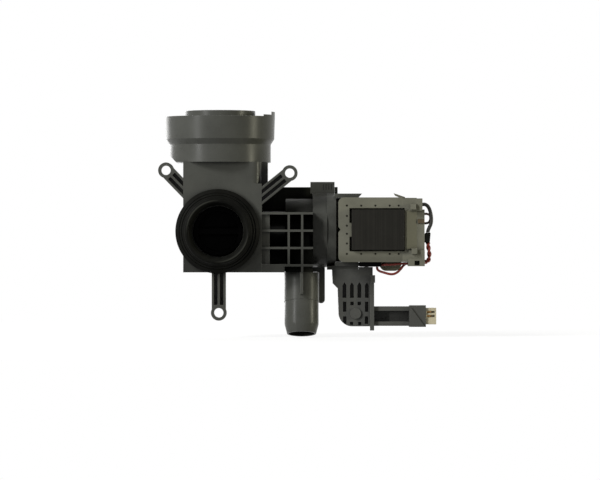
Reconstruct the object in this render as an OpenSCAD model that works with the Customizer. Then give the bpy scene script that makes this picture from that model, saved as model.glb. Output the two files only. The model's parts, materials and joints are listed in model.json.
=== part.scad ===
// Washing-machine drain pump: a filter housing with the tub inlet on top and a clean-out port in front,
// a pump casing with a tilted outlet, a synchronous motor whose coils stand in front of its rotor,
// and a bracket that carries the lead connector.
// Origin on the port axis, in the plane of the ears' front faces. +X runs towards the motor,
// +Y into the machine, +Z up. All sizes are millimetres.

/* [Filter housing] */
// Port axis to the outer face of the left wall
housing_left = 30.2; // [28.5:0.1:36]
// Port axis to the outer face of the right wall
housing_right = 38.6; // [35:0.1:46]
// Port axis down to the underside
housing_drop = 36; // [32:0.1:44]
// Port axis up to the top of the neck
neck_rise = 60.9; // [56:0.1:76]
// Front face to back face
housing_depth = 72; // [68:0.5:84]
// Thickness of the moulded walls
wall = 2.6; // [2:0.1:3.2]
// Radius of the neck's right front edge
neck_edge_r = 9; // [5:0.5:12]
// Width of the gusset on the neck's right side
gusset_w = 5.2; // [2:0.1:6]
// Height of the ribs on the back wall
back_rib_h = 3; // [1:0.5:6]

/* [Inlet collar] */
// Sideways offset of the inlet from the port axis
inlet_offset = 1.6; // [0:0.1:3]
// Outer radius of the inlet tube
inlet_tube_r = 31; // [26:0.1:31.2]
// Height of the inlet tube above the neck
inlet_tube_h = 45.7; // [30:0.1:60]
// Outer radius of the collar's lower step
collar_low_r = 44.7; // [41:0.1:50]
// Height of the collar's lower step
collar_low_h = 15.7; // [10:0.1:20]
// Height of the sloped shoulder
collar_shoulder_h = 4.9; // [3:0.1:9]
// Outer radius of the collar's rim
collar_rim_r = 48.4; // [45:0.1:54]
// Height of the collar's upper step
collar_upper_h = 19.9; // [12:0.1:30]
// Width of the bevel under the collar's left side
collar_bevel = 6.2; // [4:0.1:9]
// Height of the raised rim stretch on the right
rim_step_h = 1.5; // [1:0.1:3.5]
// Height of the locating post above the rim
rim_post_h = 4.2; // [3.8:0.1:8]
// Draft of the collar's upper wall, over its height
collar_draft = 0.6; // [0:0.1:1]

/* [Filter port] */
// Radius of the filter's seat
seat_r = 22.2; // [18:0.1:22.5]
// Length of the filter's seat
seat_len = 14; // [13:0.5:18]
// Length of the nozzle that carries the sleeve, in front of the housing
nozzle_len = 8; // [5:0.5:11]
// Outer radius of the rubber sleeve
sleeve_outer_r = 37; // [33:0.1:42]
// Radius of the sleeve's crest
sleeve_crest_r = 26.8; // [26.2:0.1:30]
// How far the crest stands in front of the housing
sleeve_stand = 14; // [12:0.5:20]
// Thickness of the sleeve's lining inside the port
lining_t = 1.6; // [1:0.1:2.2]
// Depth of the lining behind the housing's front face
lining_depth = 22; // [12:0.5:26]

/* [Lint filter] */
// Length of the filter cap
filter_cap_len = 11; // [9:0.5:13]
// Length of the basket's fingers
filter_finger_len = 24; // [14:0.5:28]
// Radius of one finger
filter_finger_r = 1.8; // [1.2:0.1:2.4]
// Number of fingers
filter_fingers = 8; // [5:1:11]
// Width of the grip bar
grip_w = 6; // [4:0.5:10]

/* [Mounting ears] */
// Radius of the screw holes
ear_hole_r = 4.1; // [3:0.1:4.9]
// Outer radius of the eyes
ear_eye_r = 6.9; // [6.3:0.1:9]
// Width of the arms
ear_width = 12.4; // [11:0.1:16]
// Depth of the arms and eyes
ear_depth = 9; // [6:0.5:14]
// Thickness of the web behind the arms' pockets
ear_web = 2; // [1.5:0.1:3]
// Sideways place of the left eye
left_eye_x = -45.3; // [-56:0.1:-43]
// Height of the left eye
left_eye_z = 53.5; // [50:0.1:56]
// Sideways place of the right eye
right_eye_x = 63.2; // [60:0.1:74]
// Height of the right eye
right_eye_z = 51.1; // [46:0.1:58]
// Sideways place of the lower eye
lower_eye_x = 1; // [-8:0.1:10]
// Height of the lower eye
lower_eye_z = -71.4; // [-90:0.1:-62]
// Slope of the left arm, from level
left_arm_slope = 46; // [40:1:52]
// Slope of the right arm, from level
right_arm_slope = 39; // [34:1:46]

/* [Pump casing] */
// Pump axis behind the ears' front faces
pump_y = 48; // [44:0.5:52]
// Pump axis above the port axis
pump_z = 1.4; // [-2:0.1:4]
// Bore radius of the suction duct
duct_r = 14; // [11:0.5:16]
// Length of the suction duct
duct_len = 20.9; // [16:0.1:28]
// Inner radius of the pump chamber
chamber_r = 25; // [24:0.1:27]
// Length of the pump chamber, up to the motor ring
chamber_len = 24.1; // [23:0.1:32]
// Half width of the motor ring
ring_half = 33.2; // [32.6:0.1:36]
// Corner radius of the motor ring
ring_corner_r = 28; // [20:0.5:32]
// Length of the motor ring
ring_len = 12.4; // [10:0.1:18]
// Thickness of the ribs
rib_t = 1.9; // [1.6:0.1:3]
// Height of the top rib's middle
rib_top_z = 15.8; // [12:0.1:20]
// Step from rib to rib, downwards
rib_step_z = 15.2; // [13:0.1:16]
// Step from rib to rib, sideways
rib_step_x = 11.8; // [10:0.1:13]
// Width of the edge strip beside the filter housing
edge_strip_w = 7; // [4:0.1:10]
// Top of the back plate above the pump axis
back_plate_rise = 38.2; // [32:0.1:42]
// Height of the lock block above the motor ring
lock_h = 9.2; // [4:0.1:12]
// Length of the lock block over the motor head
lock_reach = 6.8; // [4:0.1:7]
// Width of the leg under the motor ring
leg_w = 6.6; // [4:0.1:8]
// Length of the leg below the motor ring
leg_len = 32; // [16:0.5:40]

/* [Outlet] */
// Outer radius of the hose seat
outlet_r = 15; // [14:0.1:16]
// Bore radius of the outlet
outlet_bore_r = 11.4; // [9:0.1:11.5]
// Tilt of the outlet towards the front, in degrees
outlet_tilt = 12; // [0:1:14]
// Tip of the outlet below the pump axis, along the outlet
outlet_len = 93.6; // [84:0.1:110]
// Length of the hose seat
hose_seat_len = 20; // [14:0.5:26]
// Length of the tapered tip
tip_len = 8.4; // [4:0.1:12]
// Wall left at the tip's end
tip_wall = 1.4; // [1:0.1:2]
// Height of the hose stop above the seat
hose_stop = 0.4; // [0.2:0.1:1.5]
// Thickness of the fin on the outlet
fin_t = 2.6; // [1.6:0.1:4]
// Length of the fin below the casing
fin_len = 19; // [10:0.5:24]

/* [Motor head and rotor] */
// Half width of the flange
flange_half = 32; // [31.6:0.1:32.4]
// Corner radius of the flange
flange_corner_r = 19; // [12:0.5:28]
// Thickness of the flange
flange_len = 8; // [6:0.1:12]
// Radius of the rotor shaft
shaft_r = 2; // [1.5:0.1:3]
// Radius of the rotor magnet
magnet_r = 11.5; // [9:0.1:12]
// Length of the rotor magnet
magnet_len = 40; // [30:0.5:42]
// Wall of the rotor can
can_wall = 1; // [0.8:0.1:1.4]
// Outer radius of the bearings
bearing_r = 6; // [5:0.1:7]
// Length of each bearing
bearing_len = 9; // [6:0.5:10]
// Length of the clip arms over the coil frame
clip_len = 23; // [12:0.5:30]
// Thickness of the clip arms
clip_t = 3.2; // [2:0.1:4]
// How far the clip arms lie over the coil frame
clip_overlap = 12; // [6:0.5:16]

/* [Impeller] */
// Radius of the impeller
impeller_r = 19; // [15:0.5:21]
// Length of the impeller
impeller_len = 18.5; // [16:0.5:19]
// Number of vanes
vanes = 6; // [3:1:8]
// Thickness of the vanes
vane_t = 2; // [1.2:0.1:3]
// Outer radius of the hub
hub_r = 9.2; // [9:0.1:11]
// Width of the two coupling dogs
dog_w = 3; // [2:0.1:3.6]

/* [Stator and coils] */
// Length of the core along the motor
core_len = 46.2; // [42:0.1:48]
// Half height of the core
core_half = 17.75; // [17:0.05:19]
// Thickness of the yoke
yoke_t = 11; // [8:0.5:13]
// Half gap between the core's legs
leg_gap_half = 6.75; // [6.2:0.05:8]
// Front of the yoke before the pump axis
core_reach = 53; // [50:0.5:56]
// Length of the coil frame along the motor
frame_len = 56; // [54:0.1:60]
// Half height of the coil frame
frame_half = 28.35; // [27:0.05:29]
// Front face of the coil frame behind the yoke's front
frame_setback = 3; // [1:0.1:5]
// Wall of the coil frame
frame_wall = 2.5; // [2:0.1:3]
// Radius of the pin holes
pin_hole_r = 0.9; // [0.4:0.1:1.2]
// Depth of the pin holes
pin_hole_depth = 1.8; // [1:0.1:1.9]
// Build of the windings around their bobbins
winding_build = 3.4; // [2:0.1:3.8]
// Length of the terminal cap
cap_len = 19.5; // [17:0.1:24]

/* [Harness bracket] */
// Front face of the bracket behind the ears' front faces
bracket_y = 24; // [22:0.5:26]
// Depth of the bracket
bracket_depth = 10; // [7:0.5:12]
// Width of the slotted plate
bracket_w = 36; // [35:0.1:38]
// Height of the slotted plate
bracket_h = 50; // [49:0.1:54]
// Depth of the plate's slots
slot_depth = 7; // [3:0.5:7]
// Radius of the boss on the plate
boss_r = 4.75; // [3:0.05:5]
// Length of the arm
arm_len = 32; // [28:0.5:34]
// Height of the arm
arm_h = 17.2; // [15:0.1:18]
// Thickness of the arm's rails
arm_rail_t = 3.8; // [2.5:0.1:4.5]
// Length of the connector holder
holder_len = 14.9; // [13:0.1:15]
// Height of the connector holder
holder_h = 19; // [18.6:0.1:20]
// Length of the connector past the holder
connector_reach = 9.2; // [6:0.1:14]
// Height of the connector
connector_h = 14.6; // [12:0.1:15]
// Depth of the connector
connector_d = 9; // [7:0.1:9.2]
// Wall of the connector
connector_wall = 1.3; // [0.9:0.1:1.6]

/* [Leads] */
// Radius of the black lead
black_lead_r = 1.6; // [1:0.1:1.8]
// Radius of the red and brown leads
red_lead_r = 1.05; // [0.8:0.05:1.2]
// Radius of the harness sleeve
harness_r = 2; // [1.8:0.1:2.6]

/* [Hidden] */
$fn = 64;

// Colours
housing_grey = "#5f605b";
rubber_black = "#1c1d1a";
frame_beige = "#74745f";
steel = "#9a9a96";
brass = "#9c7a3c";
ivory = "#a89d7c";

// Clearances: cut overshoot, seated pieces, running fits, pieces that pass each other
cut = 1;
seat_gap = 0.1;
run_gap = 0.05;
pass_gap = 0.3;

// Inlet and collar
inlet_y = housing_depth / 2;
neck_edge_z = neck_rise - 19;
collar_shoulder_z = neck_rise + collar_low_h;
collar_upper_z = collar_shoulder_z + collar_shoulder_h;
collar_rim_z = collar_upper_z + collar_upper_h;
collar_left_x = inlet_offset - collar_low_r;
rim_step_x = inlet_offset + inlet_tube_r + 7.6;
rim_post_x = inlet_offset + collar_rim_r - 3;

// Filter port and lint filter
port_r = seat_r + 0.6;
nozzle_bore_r = port_r + lining_t + seat_gap;
nozzle_r = nozzle_bore_r + 1.9;
seat_end = lining_depth + seat_len;
crest_round = 2.2;
filter_y = lining_depth + 2;
filter_r = seat_r - 0.4;
filter_back = filter_y + filter_cap_len;
grip_depth = filter_cap_len - 3;
seal_section_r = 1.1;
seal_r = seat_r - seat_gap - seal_section_r;
seal_y = filter_back - 4;
basket_plate_t = 2;
finger_circle_r = filter_r - 4.3;

// Pump casing, along the motor
chamber_x = housing_right + duct_len;
ring_x = chamber_x + chamber_len;
flange_x = ring_x + ring_len;
flange_end = flange_x + flange_len;
socket_r = ring_half - 2.2;
head_face_x = ring_x + wall;
back_plate_y = housing_depth - 2 * wall;
rib_first_x = chamber_x + 2.8;
rib_bottom_z = rib_top_z - 3 * rib_step_z;
leg_x = ring_x + 4.1;
leg_end_z = pump_z - ring_half - leg_len;

// Outlet
outlet_x = chamber_x + wall + outlet_bore_r + 0.1;
outlet_y = pump_y - chamber_r + outlet_bore_r + 0.6;
throat_r = outlet_r + hose_stop;
seat_start = outlet_len - tip_len - hose_seat_len;

// Motor head and rotor
can_r = magnet_r + 0.7;
head_spigot_r = socket_r - 0.2;
head_seal_x = head_face_x + 5;
head_seal_section_r = 1;
front_boss_end = flange_end + 2;
front_bearing_x = front_boss_end - bearing_len - 1;
shaft_bore_r = shaft_r + run_gap;
frame_x = flange_end + 2;
core_x = frame_x + 11.5;
core_end = core_x + core_len;
magnet_x = core_x + (core_len - magnet_len) / 2 - 3;
rear_bearing_x = magnet_x + magnet_len + 1;
can_end = rear_bearing_x + bearing_len;
shaft_start = head_face_x - impeller_len - 2.6;

// Impeller and its coupling
impeller_back = head_face_x - 1;
impeller_front = impeller_back - impeller_len;
coupling_r = hub_r - 2.4;
coupling_front = impeller_front + 4;
coupling_back = impeller_back - 3;
dog_hub_r = shaft_r + 1.8;
dog_tip_r = coupling_r - 0.4;

// Stator and coils
core_front = pump_y - core_reach;
frame_front = core_front + frame_setback;
frame_back = pump_y - can_r - can_wall - 1;
frame_end = frame_x + frame_len;
frame_bottom = pump_z - frame_half;
window_half = core_half + 1.2;
bobbin_t = 1;
bobbin_front = core_front + yoke_t + pass_gap;
bobbin_back = frame_back - seat_gap;
cap_end = frame_end + cap_len;

// Harness bracket
bracket_top = pump_z - flange_half - clip_t;
hanger_end = flange_end + clip_len - clip_t;
bracket_x = flange_end - 3.6;
bracket_end = bracket_x + bracket_w;
bracket_middle = bracket_end - 15.1;
bracket_bottom = bracket_top - bracket_h;
arm_end = bracket_end + arm_len;
holder_end = arm_end + holder_len;
holder_wall = 1.6;
arm_mid_z = bracket_bottom + arm_h / 2 + 0.4;
bracket_back = bracket_y + bracket_depth;
holder_back = bracket_y + connector_d + 2 * (holder_wall + seat_gap);
holder_mid_y = (bracket_y + holder_back) / 2;

// Terminal boot, below the pump axis, and the wire clamp, before the terminal cap's end
boot_top = pump_z - 2.4;
boot_bottom = pump_z - 11.4;
clamp_x = cap_end - 57.5;
clamp_len = 19.5;
clamp_front = frame_front + 5;
clamp_depth = 15;
clamp_h = 4.1;

// Places that the leads' routes are counted from: the terminal cap's end beside the pump axis
// and beside the coil frame's underside, and the back of the connector holder
cap_corner = [cap_end, frame_front, pump_z];
foot_corner = [cap_end, frame_front, frame_bottom];
holder_inlet = [arm_end + holder_len / 2, holder_back, arm_mid_z];

// Routes of the leads, from end to end
function from(place, points) = [for (p = points) place + p];
black_lead_route = from(cap_corner, [
    [-1.9, 10, 22.2], [0.7, 10, 22.2], [3.3, 9.8, 20.2], [5.1, 9.5, 16], [6, 9, 10.6],
    [5.7, 8.6, 5.6], [4.1, 8.5, 1.6], [3.1, 8.5, -1], [3.1, 8.5, -2.3],
]);
brown_lead_route = from(cap_corner, [
    [0.1, 14, 14], [1.9, 14, 14], [4.1, 15, 13.4], [5.3, 17.5, 11.8], [5.5, 21, 9.6],
    [5.1, 24.6, 7.6], [3.7, 27.4, 6.2], [1.9, 28.4, 5.8], [0.1, 28.4, 5.8],
]);
red_lead_loop_route = concat(
    from(cap_corner, [
        [3.1, 8.5, -11.5], [3.1, 8.5, -13.4], [3.6, 8.5, -16.4], [4.1, 8.4, -19.6], [4.2, 8.2, -22.6],
    ]),
    from(foot_corner, [[3.8, 8, 2.6], [2.7, 8, 0.8], [1.2, 8, 0.2], [0.1, 8, 0.2]])
);
upper_red_lead_route = from(foot_corner, [
    [-14.6, 6, -1.2], [-17.5, 6, -1.2], [-22.5, 6, -1.6], [-27.5, 6.2, -2.1], [-32.5, 7, -2.3],
    [-35.9, 8, -2.3], [-37.9, 8, -2.3],
]);
lower_red_lead_route = from(foot_corner, [
    [-14.6, 11, -1.6], [-16.2, 11, -1.6], [-18.5, 10.6, -3.2], [-20.9, 9.6, -6.2], [-24, 8.2, -9.1],
    [-27.6, 7.4, -10.6], [-31.4, 7.6, -10.4], [-35, 8.6, -9.4], [-38.3, 9.9, -8.4], [-40.6, 10.8, -7.2],
    [-41.5, 11, -5.6], [-41.5, 11, -4.2],
]);
harness_route = concat(
    from(foot_corner, [
        [-50.5, 20.1, -2.3], [-50.5, 26, -2.3], [-50.5, 32.7, -2.3], [-50.5, 38.4, -3.4],
        [-50.5, 43.3, -6.7], [-50.5, 46.6, -11.6],
    ]),
    from(holder_inlet, [
        [-44.9, 9.3, 30.5], [-44.9, 9.3, 23], [-44.9, 9.3, 16], [-43.6, 9.3, 9.9], [-40.2, 9.3, 4.7],
        [-35, 9.3, 1.2], [-28.9, 9.3, 0], [-22, 9.3, 0], [-15, 9.3, 0], [-8, 9.3, 0],
        [-4.9, 8.7, 0], [-2.3, 7, 0], [-0.6, 4.4, 0], [0, 1.3, 0], [0, 0.1, 0],
    ])
);

// A box between two corners
module span(a, b) {
    translate(a) cube(b - a);
}

// Round bars along one axis
module rod_x(r, x0, x1) {
    translate([x0, 0, 0]) rotate([0, 90, 0]) cylinder(r = r, h = x1 - x0);
}

module rod_y(r, y0, y1) {
    translate([0, y0, 0]) rotate([-90, 0, 0]) cylinder(r = r, h = y1 - y0);
}

module rod_z(r, z0, z1) {
    translate([0, 0, z0]) cylinder(r = r, h = z1 - z0);
}

// A flat outline given in X and Z, thick along Y
module plate_y(y0, y1) {
    translate([0, y1, 0]) rotate([90, 0, 0]) linear_extrude(y1 - y0) children();
}

// A flat outline given in Y and Z, thick along X
module plate_x(x0, x1) {
    translate([x0, 0, 0]) rotate([90, 0, 90]) linear_extrude(x1 - x0) children();
}

// A rectangle with rounded corners, centred
module rounded_rectangle(half_w, half_h, r) {
    square([2 * half_w, 2 * (half_h - r)], center = true);
    square([2 * (half_w - r), 2 * half_h], center = true);
    for (sx = [-1, 1], sy = [-1, 1]) {
        translate([sx * (half_w - r), sy * (half_h - r)]) circle(r);
    }
}

// A ring of round section about X
module seal_about_x(r, section_r, x) {
    translate([x, 0, 0]) rotate([0, 90, 0]) rotate_extrude() translate([r, 0]) circle(section_r);
}

module on_pump_axis() {
    translate([0, pump_y, pump_z]) children();
}

// Local frame of the outlet: its centre line runs down local -Z from the pump axis's height
module on_outlet() {
    translate([outlet_x, outlet_y, pump_z]) rotate([-outlet_tilt, 0, 0]) children();
}

module on_inlet() {
    translate([inlet_offset, inlet_y, 0]) children();
}

// A round tube along a route: the section is carried from point to point without twisting
function unit(v) = v / norm(v);
function heading(p, i) = unit(p[min(i + 1, len(p) - 1)] - p[max(i - 1, 0)]);
function square_to(v, t) = unit(v - (v * t) * t);
function side_of(p, i) = square_to(i == 0 ? [0.3, 1, 0.2] : side_of(p, i - 1), heading(p, i));

module lead(route, r, sides = 8) {
    rings = len(route);
    points = [
        for (i = [0:rings - 1]) let (t = heading(route, i), n = side_of(route, i), b = cross(t, n))
            for (k = [0:sides - 1]) let (a = 360 * k / sides) route[i] + r * (cos(a) * n + sin(a) * b)
    ];
    skin = [
        for (i = [0:rings - 2], k = [0:sides - 1]) let (m = (k + 1) % sides, a = i * sides, b = a + sides)
            each [[a + k, b + k, b + m], [a + k, b + m, a + m]]
    ];
    start = [for (k = [1:sides - 2]) [0, k, k + 1]];
    last = (rings - 1) * sides;
    end = [for (k = [1:sides - 2]) [last, last + k + 1, last + k]];
    polyhedron(points, concat(skin, start, end));
}

// The housing's form, drawn in from its outside by an inset
module housing_form(inset) {
    edge_r = neck_edge_r - inset;
    edge_h = neck_rise - neck_edge_z;
    difference() {
        span(
            [-housing_left + inset, inset, -housing_drop + inset],
            [housing_right - inset, housing_depth - inset, neck_rise - inset]
        );
        translate([housing_right - inset, inset, neck_edge_z - inset]) difference() {
            translate([-edge_r, -cut, 0]) cube([edge_r + cut, edge_r + cut, edge_h + cut]);
            translate([-edge_r, edge_r, -cut]) cylinder(r = edge_r, h = edge_h + 3 * cut);
        }
    }
}

// Upright and level ribs that stiffen the back wall
module back_ribs() {
    for (x = [-housing_left + 16, housing_right - 16]) {
        span(
            [x - rib_t / 2, housing_depth - cut, -housing_drop + 6],
            [x + rib_t / 2, housing_depth + back_rib_h, neck_rise - 8]
        );
    }
    for (z = [-housing_drop + 16, neck_rise - 40]) {
        span(
            [-housing_left + 6, housing_depth - cut, z - rib_t / 2],
            [housing_right - 6, housing_depth + back_rib_h, z + rib_t / 2]
        );
    }
}

// A gusset under the collar's right side, behind the neck's round edge
module collar_gusset() {
    span(
        [housing_right - cut, neck_edge_r + 3, neck_edge_z - 12],
        [housing_right + gusset_w, housing_depth - 2 * neck_edge_r, neck_rise]
    );
}

module filter_housing() {
    color(housing_grey) difference() {
        union() {
            housing_form(0);
            collar_gusset();
            back_ribs();
        }
        housing_form(wall);
        on_inlet() rod_z(inlet_tube_r - wall, neck_rise - 2 * wall, neck_rise + cut);
        rod_y(nozzle_r, -cut, 2 * wall);
        on_pump_axis() rod_x(duct_r, housing_right - 2 * wall, housing_right + cut);
    }
}

module inlet_tube() {
    top = neck_rise + inlet_tube_h;
    color(housing_grey) on_inlet() difference() {
        rod_z(inlet_tube_r, neck_rise, top);
        rod_z(inlet_tube_r - wall, neck_rise - cut, top + cut);
    }
}

// The tube through the housing's front wall: the sleeve sits on its front end, the filter in its seat
module port_nozzle() {
    color(housing_grey) difference() {
        rod_y(nozzle_r, -nozzle_len, seat_end);
        rod_y(nozzle_bore_r, -nozzle_len - cut, lining_depth + seat_gap);
        rod_y(seat_r, 0, seat_end + cut);
    }
}

// The collar's turned form, drawn in from its outside by an inset, with its bevelled lower left edge
module collar_form(inset) {
    top = collar_rim_z + rim_post_h + (inset > 0 ? cut : 0);
    size = 2 * collar_rim_r;
    difference() {
        on_inlet() rotate_extrude() polygon([
            [0, neck_rise + inset],
            [collar_low_r - inset, neck_rise + inset],
            [collar_low_r - inset, collar_shoulder_z],
            [collar_rim_r - collar_draft - inset, collar_upper_z],
            [collar_rim_r - inset, collar_rim_z],
            [collar_rim_r - inset, top],
            [0, top],
        ]);
        translate([collar_left_x + collar_bevel / 2, inlet_y, neck_rise + collar_bevel / 2])
            rotate([0, 45, 0]) translate([-size / 2, -size / 2, inset - size]) cube(size);
    }
}

module inlet_collar() {
    reach = 2 * collar_rim_r;
    top = collar_rim_z + rim_post_h + cut;
    color(housing_grey) difference() {
        collar_form(0);
        collar_form(wall);
        on_inlet() rod_z(inlet_tube_r + seat_gap, neck_rise - cut, neck_rise + wall + cut);
        span([-reach, -reach, collar_rim_z], [rim_step_x, 2 * reach, top]);
        span([-reach, -reach, collar_rim_z + rim_step_h], [rim_post_x, 2 * reach, top]);
    }
}

// An ear: an arm of three rails on a web, from its eye to past the wall that it joins
module ear(eye_x, eye_z, angle, arm_len) {
    rail_t = 2.1;
    pocket_w = (ear_width - 3 * rail_t) / 2;
    module at_eye() {
        translate([eye_x, eye_z]) rotate(angle) children();
    }
    difference() {
        union() {
            plate_y(0, ear_depth) at_eye() translate([0, -ear_width / 2]) square([arm_len, ear_width]);
            translate([eye_x, 0, eye_z]) rod_y(ear_eye_r, 0, ear_depth);
        }
        plate_y(-cut, ear_depth - ear_web) at_eye() {
            for (s = [-1, 1]) {
                translate([ear_eye_r, s * (rail_t + pocket_w) / 2 - pocket_w / 2])
                    square([arm_len, pocket_w]);
            }
        }
        translate([eye_x, 0, eye_z]) rod_y(ear_hole_r, -cut, ear_depth + cut);
    }
}

module left_mounting_ear() {
    arm_len = (-housing_left - left_eye_x) / cos(left_arm_slope) + ear_width;
    color(housing_grey) difference() {
        ear(left_eye_x, left_eye_z, -left_arm_slope, arm_len);
        translate([-housing_left, -cut, -2 * arm_len]) cube(4 * arm_len + neck_rise);
    }
}

module right_mounting_ear() {
    arm_len = (right_eye_x - housing_right) / cos(right_arm_slope) + ear_width;
    color(housing_grey) difference() {
        ear(right_eye_x, right_eye_z, 180 + right_arm_slope, arm_len);
        span(
            [housing_right - 3 * arm_len, -cut, -2 * arm_len],
            [housing_right, 3 * arm_len, 2 * neck_rise]
        );
    }
}

module lower_mounting_ear() {
    arm_len = -housing_drop - lower_eye_z;
    color(housing_grey) {
        ear(lower_eye_x, lower_eye_z, 90, arm_len);
        span(
            [lower_eye_x - ear_width / 6, ear_depth / 3, lower_eye_z + ear_eye_r + 4],
            [lower_eye_x + ear_width / 6, ear_depth - cut, lower_eye_z + ear_eye_r + 6]
        );
    }
}

// The outside of the duct, the chamber and the outlet's throat
module duct_form() {
    on_pump_axis() rod_x(duct_r + wall, housing_right, chamber_x);
}

module chamber_form() {
    drop = pump_z + housing_drop;
    on_pump_axis() rod_x(chamber_r + wall, chamber_x, ring_x);
    intersection() {
        on_outlet() rod_z(throat_r, -2 * drop, 0);
        translate([chamber_x, outlet_y - 4 * throat_r, -housing_drop])
            cube([chamber_len, 8 * throat_r, drop]);
    }
}

// The egg-crate in front of the duct and the chamber
module casing_ribs() {
    color(housing_grey) difference() {
        union() {
            for (i = [0:3]) {
                z = rib_top_z - i * rib_step_z;
                span([housing_right, 0, z - rib_t / 2], [ring_x, pump_y, z + rib_t / 2]);
            }
            for (i = [0, 1]) {
                x = rib_first_x + i * rib_step_x;
                z = i == 0 ? rib_bottom_z : -housing_drop;
                span([x - rib_t / 2, 0, z], [x + rib_t / 2, pump_y, rib_top_z + rib_t / 2]);
            }
            span([housing_right, 0, -housing_drop], [chamber_x - cut, pump_y, rib_bottom_z]);
            span([housing_right, wall, -housing_drop], [housing_right + edge_strip_w, pump_y / 2, rib_top_z]);
        }
        duct_form();
        chamber_form();
    }
}

module suction_duct() {
    color(housing_grey) difference() {
        duct_form();
        on_pump_axis() rod_x(duct_r, housing_right - cut, chamber_x + cut);
    }
}

// The block that locks the motor head, with grip grooves in its front
module lock_block() {
    half_d = 12;
    base_z = pump_z + flange_half + pass_gap;
    top_z = pump_z + ring_half + lock_h;
    groove_step = 2.4;
    difference() {
        span([ring_x - 2.2, pump_y - half_d, base_z], [flange_x + lock_reach, pump_y + half_d, top_z]);
        for (i = [0:3]) {
            x = flange_x + lock_reach - 2 - i * groove_step;
            span([x - 1.2, pump_y - half_d - cut, base_z + 3], [x, pump_y - half_d + 0.5, top_z - 2]);
        }
    }
}

module casing_leg() {
    span(
        [ring_x, pump_y + 2, -housing_drop],
        [leg_x + leg_w, pump_y + 10, pump_z - ring_half + 6]
    );
    span(
        [leg_x, pump_y + 2, leg_end_z + leg_w / 2],
        [leg_x + leg_w, pump_y + 10, pump_z - ring_half + 6]
    );
    translate([leg_x + leg_w / 2, 0, leg_end_z + leg_w / 2]) rod_y(leg_w / 2, pump_y + 2, pump_y + 10);
}

// The pump chamber with the outlet's throat and the plate behind it
module pump_casing() {
    color(housing_grey) difference() {
        union() {
            chamber_form();
            difference() {
                span(
                    [housing_right, back_plate_y, -housing_drop],
                    [ring_x, back_plate_y + wall, pump_z + back_plate_rise]
                );
                duct_form();
            }
        }
        on_pump_axis() {
            rod_x(duct_r, chamber_x - cut, chamber_x + wall + cut);
            rod_x(chamber_r, chamber_x + wall, ring_x + cut);
        }
        on_outlet() rod_z(outlet_bore_r, -2 * (pump_z + housing_drop), 0);
    }
}

// The ring that takes the motor head, with its lock block and leg
module motor_ring() {
    color(housing_grey) difference() {
        union() {
            on_pump_axis() plate_x(ring_x, flange_x) rounded_rectangle(ring_half, ring_half, ring_corner_r);
            lock_block();
            casing_leg();
        }
        on_pump_axis() {
            rod_x(chamber_r, ring_x - cut, head_face_x + cut);
            rod_x(socket_r, head_face_x, flange_x + cut);
        }
    }
}

module outlet_spigot() {
    drop = pump_z + housing_drop;
    root_y = outlet_y - drop * tan(outlet_tilt);
    fin_end_y = root_y - fin_len * tan(outlet_tilt);
    fin_front = throat_r / cos(outlet_tilt) + 7;
    color(housing_grey) difference() {
        union() {
            on_outlet() {
                rod_z(throat_r, -seat_start, 0);
                rod_z(outlet_r, -outlet_len + tip_len, 0);
                translate([0, 0, -outlet_len])
                    cylinder(r1 = outlet_bore_r + tip_wall, r2 = outlet_r, h = tip_len);
            }
            plate_x(outlet_x - fin_t / 2, outlet_x + fin_t / 2) polygon([
                [root_y, -housing_drop + cut],
                [root_y - fin_front, -housing_drop + cut],
                [fin_end_y - fin_front + 3, -housing_drop - fin_len],
                [fin_end_y, -housing_drop - fin_len],
            ]);
        }
        on_outlet() rod_z(outlet_bore_r, -outlet_len - cut, cut);
        translate([outlet_x - outlet_len, outlet_y - outlet_len, -housing_drop]) cube(2 * outlet_len);
    }
}

// The sleeve's section: a foot on the housing, a sloped outside with two grooves, a round crest,
// and a lining that runs back into the port
module port_sleeve() {
    rim_h = 3.6;
    crest_y = crest_round - sleeve_stand;
    slope_r = sleeve_crest_r + crest_round;
    groove_w = 0.7;
    slope_run = sleeve_outer_r - 1.2 - slope_r;
    slope_rise = -rim_h - 1.2 - crest_y;
    function on_slope(s) = [sleeve_outer_r - 1.2 - s * slope_run, -rim_h - 1.2 - s * slope_rise];
    grooves = [
        for (s = [0.3, 0.62]) each [
            on_slope(s),
            on_slope(s) + [-0.2, groove_w],
            on_slope(s) + [-1, groove_w * 0.6],
            on_slope(s + 0.13),
        ]
    ];
    crest = [for (a = [0:15:180]) [sleeve_crest_r + crest_round * cos(a), crest_y - crest_round * sin(a)]];
    color(rubber_black) rotate([-90, 0, 0]) rotate_extrude() polygon(concat(
        [
            [nozzle_r + seat_gap, 0],
            [sleeve_outer_r, 0],
            [sleeve_outer_r, -rim_h],
            [sleeve_outer_r - 1.2, -rim_h - 1.2],
        ],
        grooves,
        crest,
        [
            [port_r, crest_y + 3],
            [port_r, lining_depth],
            [port_r + lining_t, lining_depth],
            [port_r + lining_t, -nozzle_len - seat_gap],
            [nozzle_r + seat_gap, -nozzle_len - seat_gap],
        ]
    ));
}

module filter_seal_ring() {
    color(rubber_black) translate([0, seal_y, 0]) rotate([-90, 0, 0]) rotate_extrude()
        translate([seal_r, 0]) circle(seal_section_r);
}

module filter_cap() {
    cup_r = filter_r - 4;
    groove_half = seal_section_r + seat_gap;
    color(rubber_black) {
        difference() {
            rod_y(filter_r, filter_y, filter_back);
            rod_y(cup_r, filter_y - cut, filter_y + grip_depth);
            difference() {
                rod_y(filter_r + cut, seal_y - groove_half, seal_y + groove_half);
                rod_y(seal_r - groove_half, seal_y - cut - groove_half, seal_y + cut + groove_half);
            }
        }
        intersection() {
            span([-filter_r, filter_y, -grip_w / 2], [filter_r, filter_y + grip_depth + cut, grip_w / 2]);
            rod_y(cup_r + cut, filter_y, filter_back);
        }
    }
}

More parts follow.
